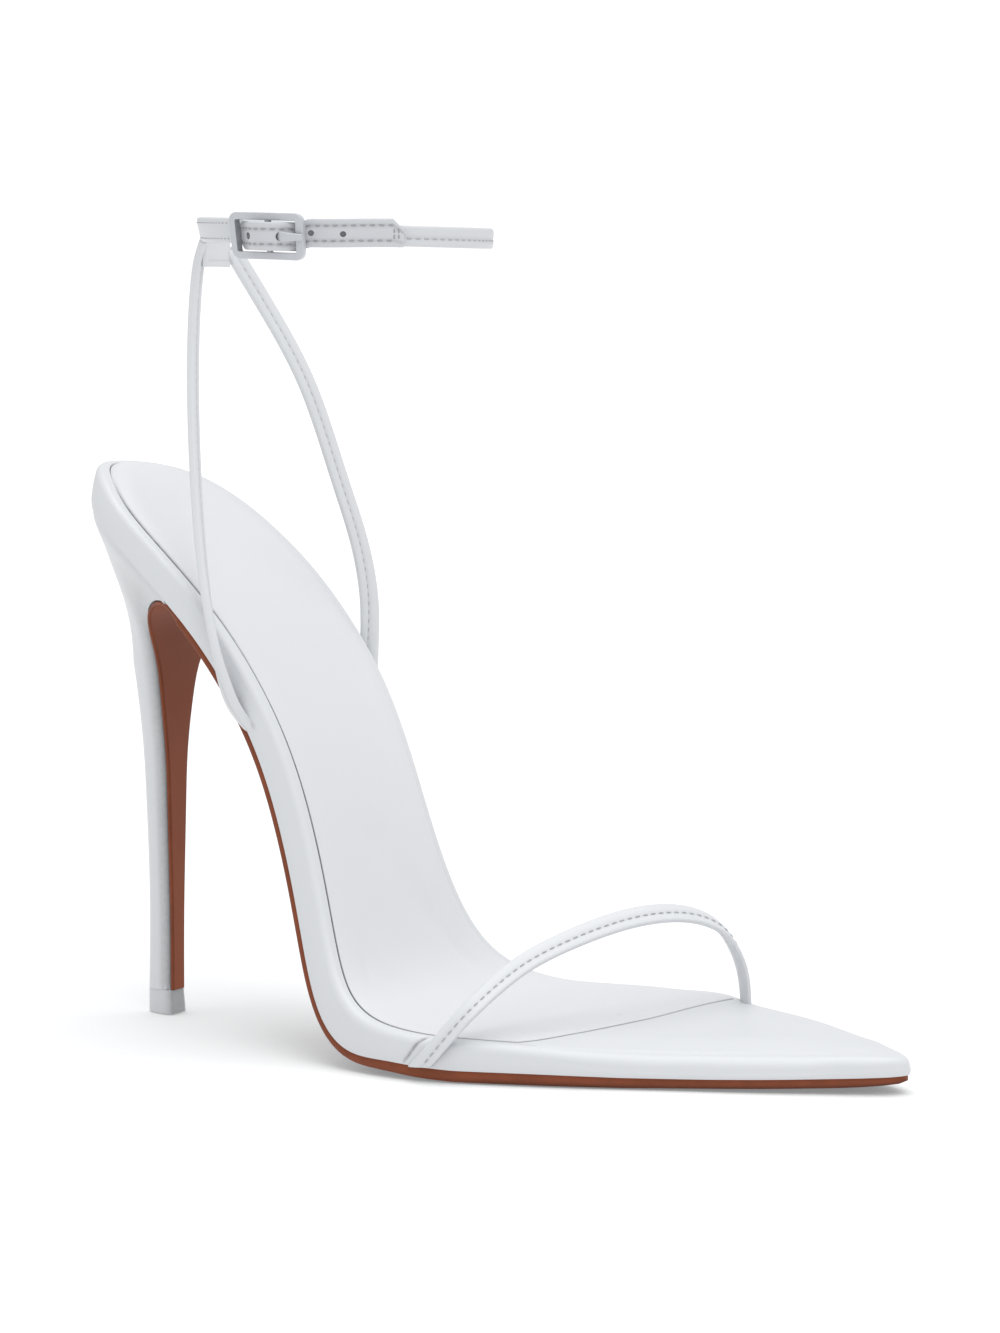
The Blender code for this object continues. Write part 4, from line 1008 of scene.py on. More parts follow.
        # Painted shade beside the breast on the lateral corner, fading towards the top.
        seam = np.zeros(rings.shape[:2])
        seam[:, :len(self.edge_shade)] = self.edge_shade
        seam *= 1 - self.edge_fade * ease(np.linspace(-1, 1, len(rings)))[:, None]
        piece.grid(rings, round_columns=True, seam=seam)
        for ring in (rings[0], rings[-1]):
            piece.grid(self.cap(ring))
        heel = piece.build(self.leather, sharp_degrees=60)
        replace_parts(heel, "heel")

    def cap(self, ring: Array) -> Array:
        """Flat end of a D-shaped section, as rings that shrink to its middle.

        Args:
            ring: the section's points.

        Returns:
            Array of shape (rings, points + 1, 3).
        """
        share = np.linspace(0, 1, self.cap_rings)[:, None, None]
        ring = np.concatenate([ring, ring[:1]])
        return blend(ring, ring.mean(axis=0), share)

    def build_top_piece(self) -> None:
        """Plastic cap under the heel: D-sections that swell a little above the floor."""
        front_x, _, half_width = self.breast_table[-1]
        front = front_x + self.sole_breast / 2
        depth = self.depth_table[0][1] + self.sole_breast
        rings = []
        for z, swell in self.top_piece_table:
            across = half_width + self.swell_across * swell
            outline = self.section(front + swell, across, depth + swell, self.top_piece_corner)
            rings.append(np.column_stack([outline, np.full(len(outline), z)]))
        piece = Piece("heel_top_piece")
        # Painted shade over the breast face and round the lateral corner.
        seam = np.zeros(len(rings[0]))
        seam[-self.breast_points:], seam[:len(self.edge_shade)] = self.edge_shade[0], self.edge_shade
        piece.grid(np.stack(rings), round_columns=True, seam=seam)
        for ring in (rings[0], rings[-1]):
            piece.grid(self.cap(ring))
        top_piece = piece.build(self.plastic)
        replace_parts(top_piece, "top_piece")


@dataclass(frozen=True)
class StrapProfile:
    """Section of a folded strap, from -1 to 1 across and through, with sewn channels."""

    squareness: float = 0.5  # 1 gives an oval, less a squarer section
    flange: float = 0.0  # share of the thickness lost towards the edge at +1
    flange_from: float = 0.1
    flange_run: float = 0.3
    channels: Sequence[float] = ()
    channel_depth: float = 0.16  # against half the thickness
    channel_width: float = 0.12  # against half the width
    channel_shade: float = 3.0  # painted shade of a channel against its depth
    lined: bool = True  # whether the channels show on the inner face as well
    rub_power: int = 12  # how close the rubbed part keeps to the edges
    end_reach: float = 0.3  # length of a closed end against the thickness
    sides: int = 64

    def height(self, across: Array) -> Array:
        """Half thickness at a place across without channels: a superellipse, thinned to the flange."""
        full = np.clip(1 - np.abs(across)**(2 / self.squareness), 0, 1)**(self.squareness / 2)
        return full * (1 - self.flange * ramp(across, self.flange_from, self.flange_run))

    def channel(self, across: Array) -> Array:
        """1 in the middle of a sewn channel and 0 away from it, as bells round each place."""
        return sum((np.exp(-((across - place) / self.channel_width)**2) for place in self.channels), 0 * across)

    def outline(self) -> tuple[Array, Array, Array]:
        """Section without its channels.

        Returns:
            Places across, places through, and how far the channels press in at each, towards the middle.
        """
        angle = 2 * np.pi * (np.arange(self.sides) + 0.5) / self.sides
        across = np.sign(np.cos(angle)) * np.abs(np.cos(angle))**self.squareness
        side = np.sign(np.sin(angle))
        shown = np.where(side > 0, 1.0, float(self.lined))
        return across, side * self.height(across), side * shown * self.channel(across) * self.channel_depth


@dataclass
class StrapPath:
    """Stations of a strap: its middle, the directions of its width and its outer face, and its sizes there."""

    centre: Array
    across: Array
    out: Array
    width: Array
    thick: Array
    sewn: Array | None = None  # how deep the channels are at each station, 1 where it is left out
    foot: float = -np.inf  # height at which the strap is trimmed flat

    def sewn_share(self) -> Array:
        """Depth of the channels at each station, against the profile's own."""
        return np.ones(len(self.centre)) if self.sewn is None else self.sewn

    def tube(self, profile: StrapProfile) -> Array:
        """Profile carried along the path: middle plus across times half the width plus out times half the thickness.

        Args:
            profile: the strap's section.

        Returns:
            Array of shape (stations, sides, 3).
        """
        across, through, pressed = profile.outline()
        side = across[None, :, None] * (self.width / 2)[:, None, None] * self.across[:, None]
        through = through - pressed * self.sewn_share()[:, None]
        face = through[..., None] * (self.thick / 2)[:, None, None] * self.out[:, None]
        return self.trim(self.centre[:, None] + side + face, self.travel()[:, None])

    def travel(self) -> Array:
        """Unit vectors along the strap, one for each station."""
        return unit(np.gradient(self.centre, axis=0))

    def trim(self, points: Array, travel: Array) -> Array:
        """Cuts the strap level at its foot: points under it slide up along the strap.

        Args:
            points: points of the strap, in millimetres.
            travel: unit vectors along the strap there.

        Returns:
            The points, none of them lower than the foot.
        """
        below = np.maximum(self.foot - points[..., 2:], 0.0)
        rise = np.where(below > 0, travel[..., 2:], 1.0)
        return points + travel * below / rise

    def line(self, profile: StrapProfile, place: float, face: float) -> tuple[Array, Array]:
        """Line along the strap's face, and the directions out of it.

        Args:
            profile: the strap's section.
            place: where across, from -1 to 1.
            face: 1 for the outer face and -1 for the inner one.

        Returns:
            Points on the face and unit vectors square to it.
        """
        side = place * (self.width / 2)[:, None] * self.across
        pressed = float(profile.channel(np.array(place))) * profile.channel_depth * self.sewn_share()
        height = face * (float(profile.height(np.array(place))) - pressed) * self.thick / 2
        return self.centre + side + height[:, None] * self.out, face * self.out

    def add_to(self, piece: Piece, profile: StrapProfile) -> None:
        """Adds the strap's tube and its closed ends to a piece.

        Args:
            piece: the piece.
            profile: the strap's section.
        """
        tube = self.tube(profile)
        across, _, pressed = profile.outline()
        # painted shade in the sewn channels
        seam = np.clip(np.abs(pressed) * profile.channel_shade, 0, 1) * np.clip(self.sewn_share(), 0, 1)[:, None]
        rub = np.broadcast_to(np.abs(across)**profile.rub_power, tube.shape[:2])
        piece.grid(tube, round_columns=True, seam=seam, rub=rub)
        for end, sign in ((0, -1), (-1, 1)):
            travel = self.travel()[end]
            reach = sign * travel * self.thick[end] * profile.end_reach
            piece.grid(self.trim(rounded_end(tube[end], reach), travel), round_columns=True)


@dataclass(frozen=True)
class Stitching:
    """Row of thread stitches: short tubes that rise from one needle hole and dive into the next."""

    pitch: float = 2.06
    length: float = 1.5
    radius: float = 0.2
    lift: float = 0.06
    sink: float = 0.34
    rings: int = 9
    sides: int = 8

    def tubes(self, line: Array, out: Array, start: float = 0.0, end: float = 0.0) -> Array:
        """Tubes along a line on a strap's face.

        At a share u from -1 to 1 along a stitch its middle stands at lift minus sink times u to the fourth over
        the face, and its radius falls to nothing at both ends with the root of 1 minus u to the tenth.

        Args:
            line: points along the face.
            out: directions out of the face.
            start: bare length at the line's start.
            end: bare length at its end.

        Returns:
            Array of shape (stitches, rings, sides, 3).
        """
        run = length_along(line)
        count = max(int((run[-1] - start - end) / self.pitch), 1)
        middles = start + (run[-1] - start - end - count * self.pitch) / 2 + (np.arange(count) + 0.5) * self.pitch
        u = np.linspace(-1, 1, self.rings)
        place = middles[:, None] + u * self.length / 2
        centre, normal = points_on(line, run, place), unit(points_on(out, run, place))
        along = unit(np.gradient(centre, axis=1))
        side = np.cross(along, normal)
        centre = centre + normal * (self.lift - self.sink * u**4)[:, None]
        size = self.radius * np.sqrt(np.clip(1 - u**10, 0, 1))[:, None, None]
        angle = round_turn(self.sides)
        ring = np.cos(angle)[:, None] * side[:, :, None] + np.sin(angle)[:, None] * normal[:, :, None]
        return centre[:, :, None] + size * ring


@dataclass
class ToeStrap:
    """Folded strap over the toes, padded behind its stitching and flat in front of it."""

    leather: "Finish"
    thread: "Finish"
    width_table: Table = (
        # share of the way along, width
        (0, 3.5), (0.2, 3.9), (0.35, 4.3), (0.55, 4.9), (0.75, 4.9), (1, 4.0),
    )
    full_width: float = 5.0  # its front edge stays where it is at this width
    thick: float = 2.0
    thick_at_end: float = 1.6
    slim_from: float = 0.75
    foot: float = 3.1  # its outer end is trimmed at the rim's foot
    foot_spare: float = 1.8  # how much lower its last station may lie
    bare_ends: Span = (4.2, 1.5)  # length without stitches at its outer and its inner end
    stations: int = 320
    route: Table = (
        # x, y, z, heading of the strap's width from -X towards -Y in degrees, its tilt up at the rear
        (88.6, -37.6, 0.4, 12, 0), (91.4, -38.0, 2.9, 12, 0), (95.0, -38.2, 6.4, 10, 4), (98.9, -36.2, 11.3, 2, 14),
        (102.7, -30.2, 17.3, -14, 30), (106.6, -19.2, 23.5, -22, 36), (111.8, -8.6, 27.6, -26, 38),
        (116.8, 1.8, 30.2, -27, 38), (121.4, 11.4, 31.2, -27, 36), (125.6, 20.2, 30.2, -27, 32),
        (128.8, 26.8, 27.0, -28, 26), (130.8, 31.0, 21.6, -31, 16), (131.8, 33.2, 15.2, -35, 6),
        (132.0, 33.9, 8.6, -37, 0),
    )
    profile: StrapProfile = StrapProfile(flange=0.3, flange_from=0.12, flange_run=0.25, channels=(0.2,),
                                         channel_depth=0.14, channel_width=0.1, lined=False)
    stitching: Stitching = Stitching(radius=0.15, lift=0.06)

    def path(self) -> StrapPath:
        """Lays the strap along its route, its width turned by heading and tilt.

        Returns:
            The strap's stations, from the foot at its outer end to its inner end.
        """
        curve = SmoothCurve(self.route)
        t = curve.spread(self.stations)
        values, along = curve.at(t), unit(curve.slope(t)[:, :3])
        heading, tilt = np.radians(values[:, 3]), np.radians(values[:, 4])
        level = np.cos(tilt)
        across = np.stack([-np.cos(heading) * level, -np.sin(heading) * level, np.sin(tilt)], -1)
        across = square_to(across, along)
        share = np.linspace(0, 1, self.stations)
        thick = self.thick + (self.thick_at_end - self.thick) * ramp(share, self.slim_from, 1 - self.slim_from)
        width = SmoothCurve.of_table(self.width_table).at(share)[:, 0]
        centre = values[:, :3] - across * (self.full_width - width)[:, None] / 2
        out = np.cross(along, across)
        first = int(np.argmax(centre[:, 2] > self.foot - self.foot_spare))
        return StrapPath(*(part[first:] for part in (centre, -across, out, width, thick)), foot=self.foot)

    def build(self) -> None:
        """Strap and its row of stitches."""
        path = self.path()
        piece = Piece("toe_strap_leather")
        path.add_to(piece, self.profile)
        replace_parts(piece.build(self.leather), "toe_strap")
        thread = Piece("toe_strap_stitches")
        line, out = path.line(self.profile, self.profile.channels[0], 1.0)
        thread.grid(self.stitching.tubes(line, out, *self.bare_ends), round_columns=True)
        thread.build(self.thread)


@dataclass
class AnkleLoop:
    """Ellipse that the ankle strap follows, measured along it from the buckle's bar to the front."""

    centre_x: float = 49.8
    half_length: float = 32.6
    half_width: float = 28.4
    back_z: float = 178.1
    lean: float = 0.020  # fall for each millimetre forward
    roll: float = 0.028  # fall for each millimetre to the inner side
    flare: float = 0.24  # how far the strap leans out at the back for each millimetre up
    buckle_degrees: float = 90.3  # round the loop from its back to the buckle's bar
    buckle_drop: float = 0.9
    buckle_dip: float = 6.0  # the strap hangs lower this far each side of the bar
    buckle_dip_fade: float = 3.5

    def __post_init__(self) -> None:
        """Measures the ellipse, a turn and more each way."""
        self.turn = np.radians(np.linspace(-360, 450, 3 * RUN_SAMPLES))
        x = self.centre_x - self.half_length * np.cos(self.turn)
        self.places = np.stack([x, -self.half_width * np.sin(self.turn)], -1)
        self.run = length_along(self.places)
        self.run -= np.interp(np.radians(self.buckle_degrees), self.turn, self.run)
        normal = np.stack([-np.cos(self.turn) / self.half_length, -np.sin(self.turn) / self.half_width], -1)
        self.normals = unit(normal)

    def run_at(self, degrees: float) -> float:
        """Distance along the loop at an angle from its back."""
        return float(np.interp(np.radians(degrees), self.turn, self.run))

    def normal(self, along: Array) -> Array:
        """Outward direction at a distance along the loop."""
        plan = points_on(self.normals, self.run, along)
        return np.concatenate([plan, np.zeros_like(plan[..., :1])], -1)

    def at(self, along: Array, out: Array, up: Array | float = 0.0) -> Array:
        """Points near the loop, which leans, rolls and flares.

        Args:
            along: distances along the loop from the buckle's bar.
            out: distances out from it.
            up: heights over its middle.

        Returns:
            Points in millimetres.
        """
        along = np.asarray(along, float)
        place = points_on(self.places, self.run, along)
        normal = self.normal(along)[..., :2]
        out = np.asarray(out, float) + self.flare * (1 - normal[..., 0]) / 2 * up
        plan = place + normal * out[..., None]
        fall = self.lean * (place[..., 0] - self.centre_x + self.half_length) + self.roll * place[..., 1]
        dip = self.buckle_drop * (1 - ramp(np.abs(along), self.buckle_dip, self.buckle_dip_fade))
        return np.concatenate([plan, (self.back_z - fall - dip + up)[..., None]], -1)

    def path(self, along: Array, out: Array, width: Array, thick: Array, up: Array | float = 0.0) -> StrapPath:
        """Strap that stands on edge along the loop.

        Args:
            along: distances along the loop, one for each station.
            out: distances out from it.
            width: widths of the strap.
            thick: thicknesses of the strap.
            up: heights of its middle over the loop's.

        Returns:
            The strap's stations.
        """
        centre = self.at(along, out, up)
        travel = unit(np.gradient(centre, axis=0))
        upright = unit(self.at(along, out, up + 1.0) - centre)
        face = unit(np.cross(travel, upright))
        if np.dot(face[0], self.normal(along[0])) < 0:
            face = -face
        return StrapPath(centre, upright, face, width, thick)


@dataclass
class Sling:
    """Two straps from the waist to the back of the ankle, and the tab that joins them."""

    leather: "Finish"
    thread: "Finish"
    loop: AnkleLoop
    width: float = 4.3
    thick: float = 2.0
    slim: float = 0.3  # share of its width that a strap loses where it goes in at the waist
    slim_from: float = 0.72
    bare_ends: Span = (4.0, 3.0)  # length without stitches at its upper and its lower end
    stations: int = 300
    tab_stations: int = 40
    lateral_route: Table = (
        # x, y, z, turn of the outer face from straight back to sideways, its dip towards the floor, degrees
        (20.4, -11.8, 176.0, 20, 0), (18.8, -11.5, 171.9, 18, 0), (18.1, -12.8, 158.5, 16, 0),
        (20.9, -17.3, 139.6, 16, 0), (24.1, -21.0, 123.8, 17, 0), (29.7, -26.2, 102.7, 23, 0),
        (33.9, -28.2, 88.4, 38, 2), (35.6, -27.6, 81.6, 54, 12), (37.2, -26.0, 75.4, 70, 34),
        (39.9, -22.6, 69.6, 82, 64),
    )
    medial_route: Table = (
        # in the same columns
        (18.0, 2.2, 173.6, 6, 0), (21.5, 8.8, 162.4, 12, 0), (26.0, 12.9, 151.8, 14, 0), (29.9, 16.5, 140.2, 16, 0),
        (33.9, 21.3, 121.8, 18, 0), (36.2, 24.5, 110.0, 22, 0), (37.3, 27.1, 99.0, 32, 0), (37.5, 28.0, 90.0, 46, 0),
        (37.7, 27.4, 82.6, 60, 10), (39.0, 25.4, 76.6, 74, 34), (41.7, 21.4, 71.2, 82, 64),
    )
    tab_ends: tuple[float, float] = (-1.0, 12.5)
    tab_thick: float = 1.4
    tab_up: tuple[float, float] = (-8.2, -1.8)
    tab_out: float = -0.35
    profile: StrapProfile = StrapProfile(channels=(-0.18,), channel_depth=0.22, squareness=0.55)
    tab_profile: StrapProfile = StrapProfile(squareness=0.3, channels=(-0.55,), channel_depth=0.16, channel_width=0.07)
    stitching: Stitching = Stitching(pitch=2.0, length=1.3, radius=0.13, lift=0.0)

    def leg(self, route: Table, side: float) -> StrapPath:
        """Lays one leg along its route, so that it faces back at the ankle and sideways at the waist.

        Args:
            route: the leg's table.
            side: -1 for the lateral leg and 1 for the medial one.

        Returns:
            The leg's stations, from the ankle down.
        """
        curve = SmoothCurve(route)
        t = curve.spread(self.stations)
        values, along = curve.at(t), unit(curve.slope(t)[:, :3])
        turn, dip = np.radians(values[:, 3]), np.radians(values[:, 4])
        level = np.cos(dip)
        out = np.stack([-np.cos(turn) * level, side * np.sin(turn) * level, -np.sin(dip)], -1)
        out = square_to(out, along)
        at_foot = ramp(np.linspace(0, 1, self.stations), self.slim_from, 1 - self.slim_from)
        width = self.width * (1 - self.slim * at_foot)
        return StrapPath(values[:, :3], np.cross(along, out), out, width, np.full(self.stations, self.thick))

    def build(self) -> None:
        """Both legs with their stitches, and the tab."""
        for name, route, side in (("lateral", self.lateral_route, -1.0), ("medial", self.medial_route, 1.0)):
            path = self.leg(route, side)
            piece = Piece(f"sling_{name}_leather")
            path.add_to(piece, self.profile)
            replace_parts(piece.build(self.leather), "sling_straps")
            thread = Piece(f"sling_{name}_stitches")
            line, out = path.line(self.profile, self.profile.channels[0], -1.0)
            thread.grid(self.stitching.tubes(line, out, *self.bare_ends), round_columns=True)
            thread.build(self.thread)
        self.build_tab()

    def build_tab(self) -> None:
        """Tab under the back of the ankle strap: a flat profile carried along the loop."""
        back = self.loop.run_at(0)
        along = np.linspace(back + self.tab_ends[0], back + self.tab_ends[1], self.tab_stations)
        width = np.full(len(along), self.tab_up[1] - self.tab_up[0])
        thick = np.full(len(along), self.tab_thick)
        upright = replace(self.loop, flare=0.0)
        path = upright.path(along, np.full(len(along), self.tab_out), width, thick, up=np.mean(self.tab_up))
        piece = Piece("sling_tab")
        path.add_to(piece, self.tab_profile)
        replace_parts(piece.build(self.leather), "sling_straps")


@dataclass
class AnkleStrap:
    """Narrow strap round the ankle to the buckle's bar, and the punched billet sewn to it."""

    # leather and shaded_billet_leather are darker copies of the white leather, as painted shade for the dimmer light
    # round the ankle
    leather: "Finish"
    shaded_billet_leather: "Finish"
    thread: "Finish"
    lighter_shaded_thread: "Finish"
    hole: "Finish"
    loop: AnkleLoop
    narrow_width: float = 4.5
    chape_width: float = 5.5
    thick: float = 1.8
    skived: float = 0.8
    chape_from: float = 30.0
    chape_run: float = 20.0
    billet_width: float = 6.1
    billet_thick: float = 1.2
    sewn_end: float = 28.5
    billet_lift: float = 0.6  # how much higher the billet's sewn end is set
    lift_from: float = 8.0
    strap_under_billet: float = 19.0
    billet_tip: float = -8.9
    prong_hole: tuple[float, float] = (4.1, 1.05)  # along, radius
    holes: Table = ((-3.4, 0.75), (9.5, 0.62), (16.4, 0.62))
    hole_stretch: float = 1.1  # how much longer a hole is along the strap
    hole_floor: float = 0.75  # leather left under a hole that isn't in use
    billet_route: Table = (
        # along, out
        (28.5, 1.8), (22, 1.8), (17, 1.5), (12, 0.8), (7.75, 0.75), (5.4, 2.1), (3, 3.6), (0, 4.5),
        (-3, 3.6), (-5.2, 2.1), (-6.9, 1.25), (-8.9, 0.95),
    )
    chape_route: Table = (
        # along, out: the strap's end, over the bar, round it and back underneath
        (-16, 0.0), (-12, -0.1), (-8, -0.3), (-5, 0.35), (-2.7, 1.9), (-1.1, 2.85), (0, 3.05), (1.1, 2.6),
        (1.55, 1.5), (1.1, 0.4), (0, -0.05), (-1.9, -0.65), (-4.8, -1.25),
    )
    slot_along: tuple[float, float] = (-2.4, 3.2)
    slot_out: tuple[float, float] = (-3.5, 4.0)
    slot_half_height: float = 1.0
    shoulder: float = 2.2  # how much narrower the billet's sewn end is cut on its upper side
    shoulder_run: float = 2.1
    end_rows: Sequence[float] = (26.6, 27.5)  # rows of stitches up the sewn end
    end_row_span: Span = (-0.53, 0.4)  # their reach across, against half the width
    end_row_points: int = 30
    tip_run: float = 2.5  # length of the billet's rounded tip
    tip_least: float = 0.1
    billet_bare: Span = (2.0, 2.2)  # lengths without stitches at the ends of a row
    chape_bare: Span = (0.6, 0.3)
    narrow_bare: float = 10.0
    chape_sewn: float = 0.02  # the chape's rows start where the channel is this shallow
    narrow_sewn: float = 0.5  # and the narrow strap's row ends here
    strap_stations: int = 420
    chape_stations: int = 140
    turn_stations: int = 34  # stations of the chape before it turns round the bar
    skive_stations: int = 30  # stations over which it is thinned
    billet_stations: int = 300
    hole_points: int = 32
    punch_reach: Span = (-1.5, 6.0)  # how far in and out a punch goes
    profile: StrapProfile = StrapProfile(channels=(-0.22,), channel_depth=0.2)
    chape_rows: Sequence[float] = (-0.62, 0.62)
    billet_profile: StrapProfile = StrapProfile(channels=(-0.53, 0.53), channel_depth=0.34, channel_width=0.12,
                                                squareness=0.42, lined=False)
    stitching: Stitching = Stitching(pitch=2.0, length=1.4, radius=0.17)
    fine_stitching: Stitching = Stitching(pitch=1.25, length=0.65, radius=0.1, sink=0.2)
    end_stitching: Stitching = Stitching(pitch=1.25, length=1.05, radius=0.16)

    def build(self) -> None:
        """Narrow strap, billet and all their stitches."""
        strap = self.build_strap()
        billet = self.build_billet()
        thread = Piece("ankle_stitches")
        for place in self.billet_profile.channels:
            line, out = billet.line(self.billet_profile, place, 1.0)
            thread.grid(self.stitching.tubes(line, out, *self.billet_bare), round_columns=True)
        for along in self.end_rows:
            thread.grid(self.end_row(along), round_columns=True)
        for place in self.chape_rows:
            line, out = strap.line(self.profile, place, 1.0)
            turn = self.strap_stations - 1 + self.turn_stations
            chape = slice(int(np.argmin(strap.sewn > self.chape_sewn)), turn)
            thread.grid(self.fine_stitching.tubes(line[chape], out[chape], *self.chape_bare), round_columns=True)
        thread.build(self.thread)
        thread = Piece("ankle_narrow_stitches")
        line, out = strap.line(self.profile, self.profile.channels[0], 1.0)
        narrow = slice(0, int(np.argmin(strap.sewn > self.narrow_sewn)))
        thread.grid(self.stitching.tubes(line[narrow], out[narrow], self.narrow_bare), round_columns=True)
        thread.build(self.lighter_shaded_thread)

    def end_row(self, along: float) -> Array:
        """Stitches up the billet's sewn end.

        Args:
            along: place of the row along the loop.

        Returns:
            Tubes of the stitches.
        """
        up = np.linspace(*self.end_row_span, self.end_row_points) * self.billet_width / 2
        out = self.billet_out(along) + self.billet_thick / 2
        line = self.loop.at(np.full(len(up), along), np.full(len(up), out), up + self.billet_lift)
        normal = np.broadcast_to(self.loop.normal(along), line.shape)
        return self.end_stitching.tubes(line, normal)

    def billet_out(self, along: float) -> float:
        """How far out the billet's middle lies at a place along the loop."""
        return float(read_off(self.billet_route[::-1], along))

    def build_strap(self) -> StrapPath:
        """Strap from under the billet round the front, inner side and back, and its end round the bar.

        Returns:
            The strap's stations.
        """
        loop = self.loop
        turn_once = loop.run_at(loop.buckle_degrees) - loop.run_at(loop.buckle_degrees - 360)
        chape = SmoothCurve(self.chape_route)
        end = chape.at(chape.spread(self.chape_stations))
        start = np.linspace(self.strap_under_billet - turn_once, end[0, 0], self.strap_stations)[:-1]
        along = np.concatenate([start, end[:, 0]])
        out = np.concatenate([np.zeros(len(start)), end[:, 1]])
        to_chape = ease((along - loop.run_at(0) + self.chape_from) / self.chape_run)
        width = self.narrow_width + (self.chape_width - self.narrow_width) * to_chape
        station = np.arange(len(along)) - len(start)
        thick = self.thick + (self.skived - self.thick) * ease(station / self.skive_stations)
        path = loop.path(along, out, width, thick)
        path.sewn = np.where(station > 0, 0.0, 1 - to_chape)
        piece = Piece("ankle_strap_leather")
        path.add_to(piece, self.profile)
        strap = piece.build(self.leather)
        self.cut(strap, self.slot_cutter())
        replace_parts(strap, "ankle_strap")
        return path

    def slot_cutter(self) -> Piece:
        """Box that cuts the prong's slot out of the chape.

        Returns:
            The box, as a closed piece.
        """
        out = np.array([*self.slot_out, *self.slot_out[::-1]])
        up = self.slot_half_height * np.array([-1.0, -1.0, 1.0, 1.0])
        rings = np.stack([self.loop.at(np.full(4, along), out, up) for along in self.slot_along])
        cutter = Piece("slot_cutter")
        cutter.grid(rings, round_columns=True)
        for ring in rings:
            cutter.grid(ring[[0, 1, 3, 2]].reshape(2, 2, 3))
        return cutter

    def build_billet(self) -> StrapPath:
        """Punched strap sewn over the narrow one, through the buckle and on to its tip.

        Returns:
            The billet's stations.
        """
        route = SmoothCurve(self.billet_route)
        places = route.at(route.spread(self.billet_stations))
        along, out = places.T
        cut = self.shoulder * np.clip((along - self.sewn_end + self.shoulder_run) / self.shoulder_run, 0, 1)
        at_tip = np.sqrt(np.clip((along - self.billet_tip) / self.tip_run, self.tip_least, 1.0))
        width = self.billet_width * at_tip - cut
        lift = self.billet_lift * ramp(along, self.lift_from, self.sewn_end - self.lift_from)
        path = self.loop.path(along, out, width, np.full(len(places), self.billet_thick), up=lift - cut / 2)
        piece = Piece("ankle_billet_leather")
        path.add_to(piece, self.billet_profile)
        billet = piece.build(self.shaded_billet_leather)
        self.cut(billet, self.hole_cutter(*self.prong_hole, through=True))
        for along, radius in self.holes:
            self.cut(billet, self.hole_cutter(along, radius, through=False))
        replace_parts(billet, "ankle_billet")
        return path

    def hole_cutter(self, along: float, radius: float, through: bool) -> Piece:
        """Round punch square to the loop.

        Args:
            along: its place along the loop.
            radius: its radius.
            through: whether it goes through the billet or stops at the hole's floor.

        Returns:
            The punch, as a closed cylinder.
        """
        middle, out = self.loop.at(along, 0.0), self.loop.normal(along)
        sideways = self.hole_stretch * unit(np.cross(out, [0.0, 0.0, 1.0]))
        angle = round_turn(self.hole_points)
        ring = radius * (np.cos(angle)[:, None] * sideways + np.sin(angle)[:, None] * [0.0, 0.0, 1.0])
        start, end = self.punch_reach
        if not through:
            start = self.billet_out(along) - self.billet_thick / 2 + self.hole_floor
        rings = np.stack([middle + start * out + ring, middle + end * out + ring])
        cutter = Piece("punch")
        cutter.grid(rings, round_columns=True)
        for ends in rings:
            cutter.grid(rounded_end(ends, np.zeros(3), steps=2), round_columns=True)
        return cutter

    def cut(self, piece: Object, cutter: Piece) -> None:
        """Cuts a shape out of a piece, whose cut faces take a raw edge's dark grey, deepened as painted shade.

        Args:
            piece: the piece to cut.
            cutter: the shape to take away.
        """
        tool = cutter.build(self.hole)
        join = piece.modifiers.new(cutter.name, "BOOLEAN")
        join.operation = "DIFFERENCE"
        join.material_mode = "TRANSFER"
        join.object = tool
        bpy.context.view_layer.update()
        graph = bpy.context.evaluated_depsgraph_get()
        mesh = bpy.data.meshes.new_from_object(piece.evaluated_get(graph))
        piece.modifiers.clear()
        piece.data = mesh
        bpy.data.objects.remove(tool)
        mesh.set_sharp_from_angle(angle=np.radians(SHARP_DEGREES))


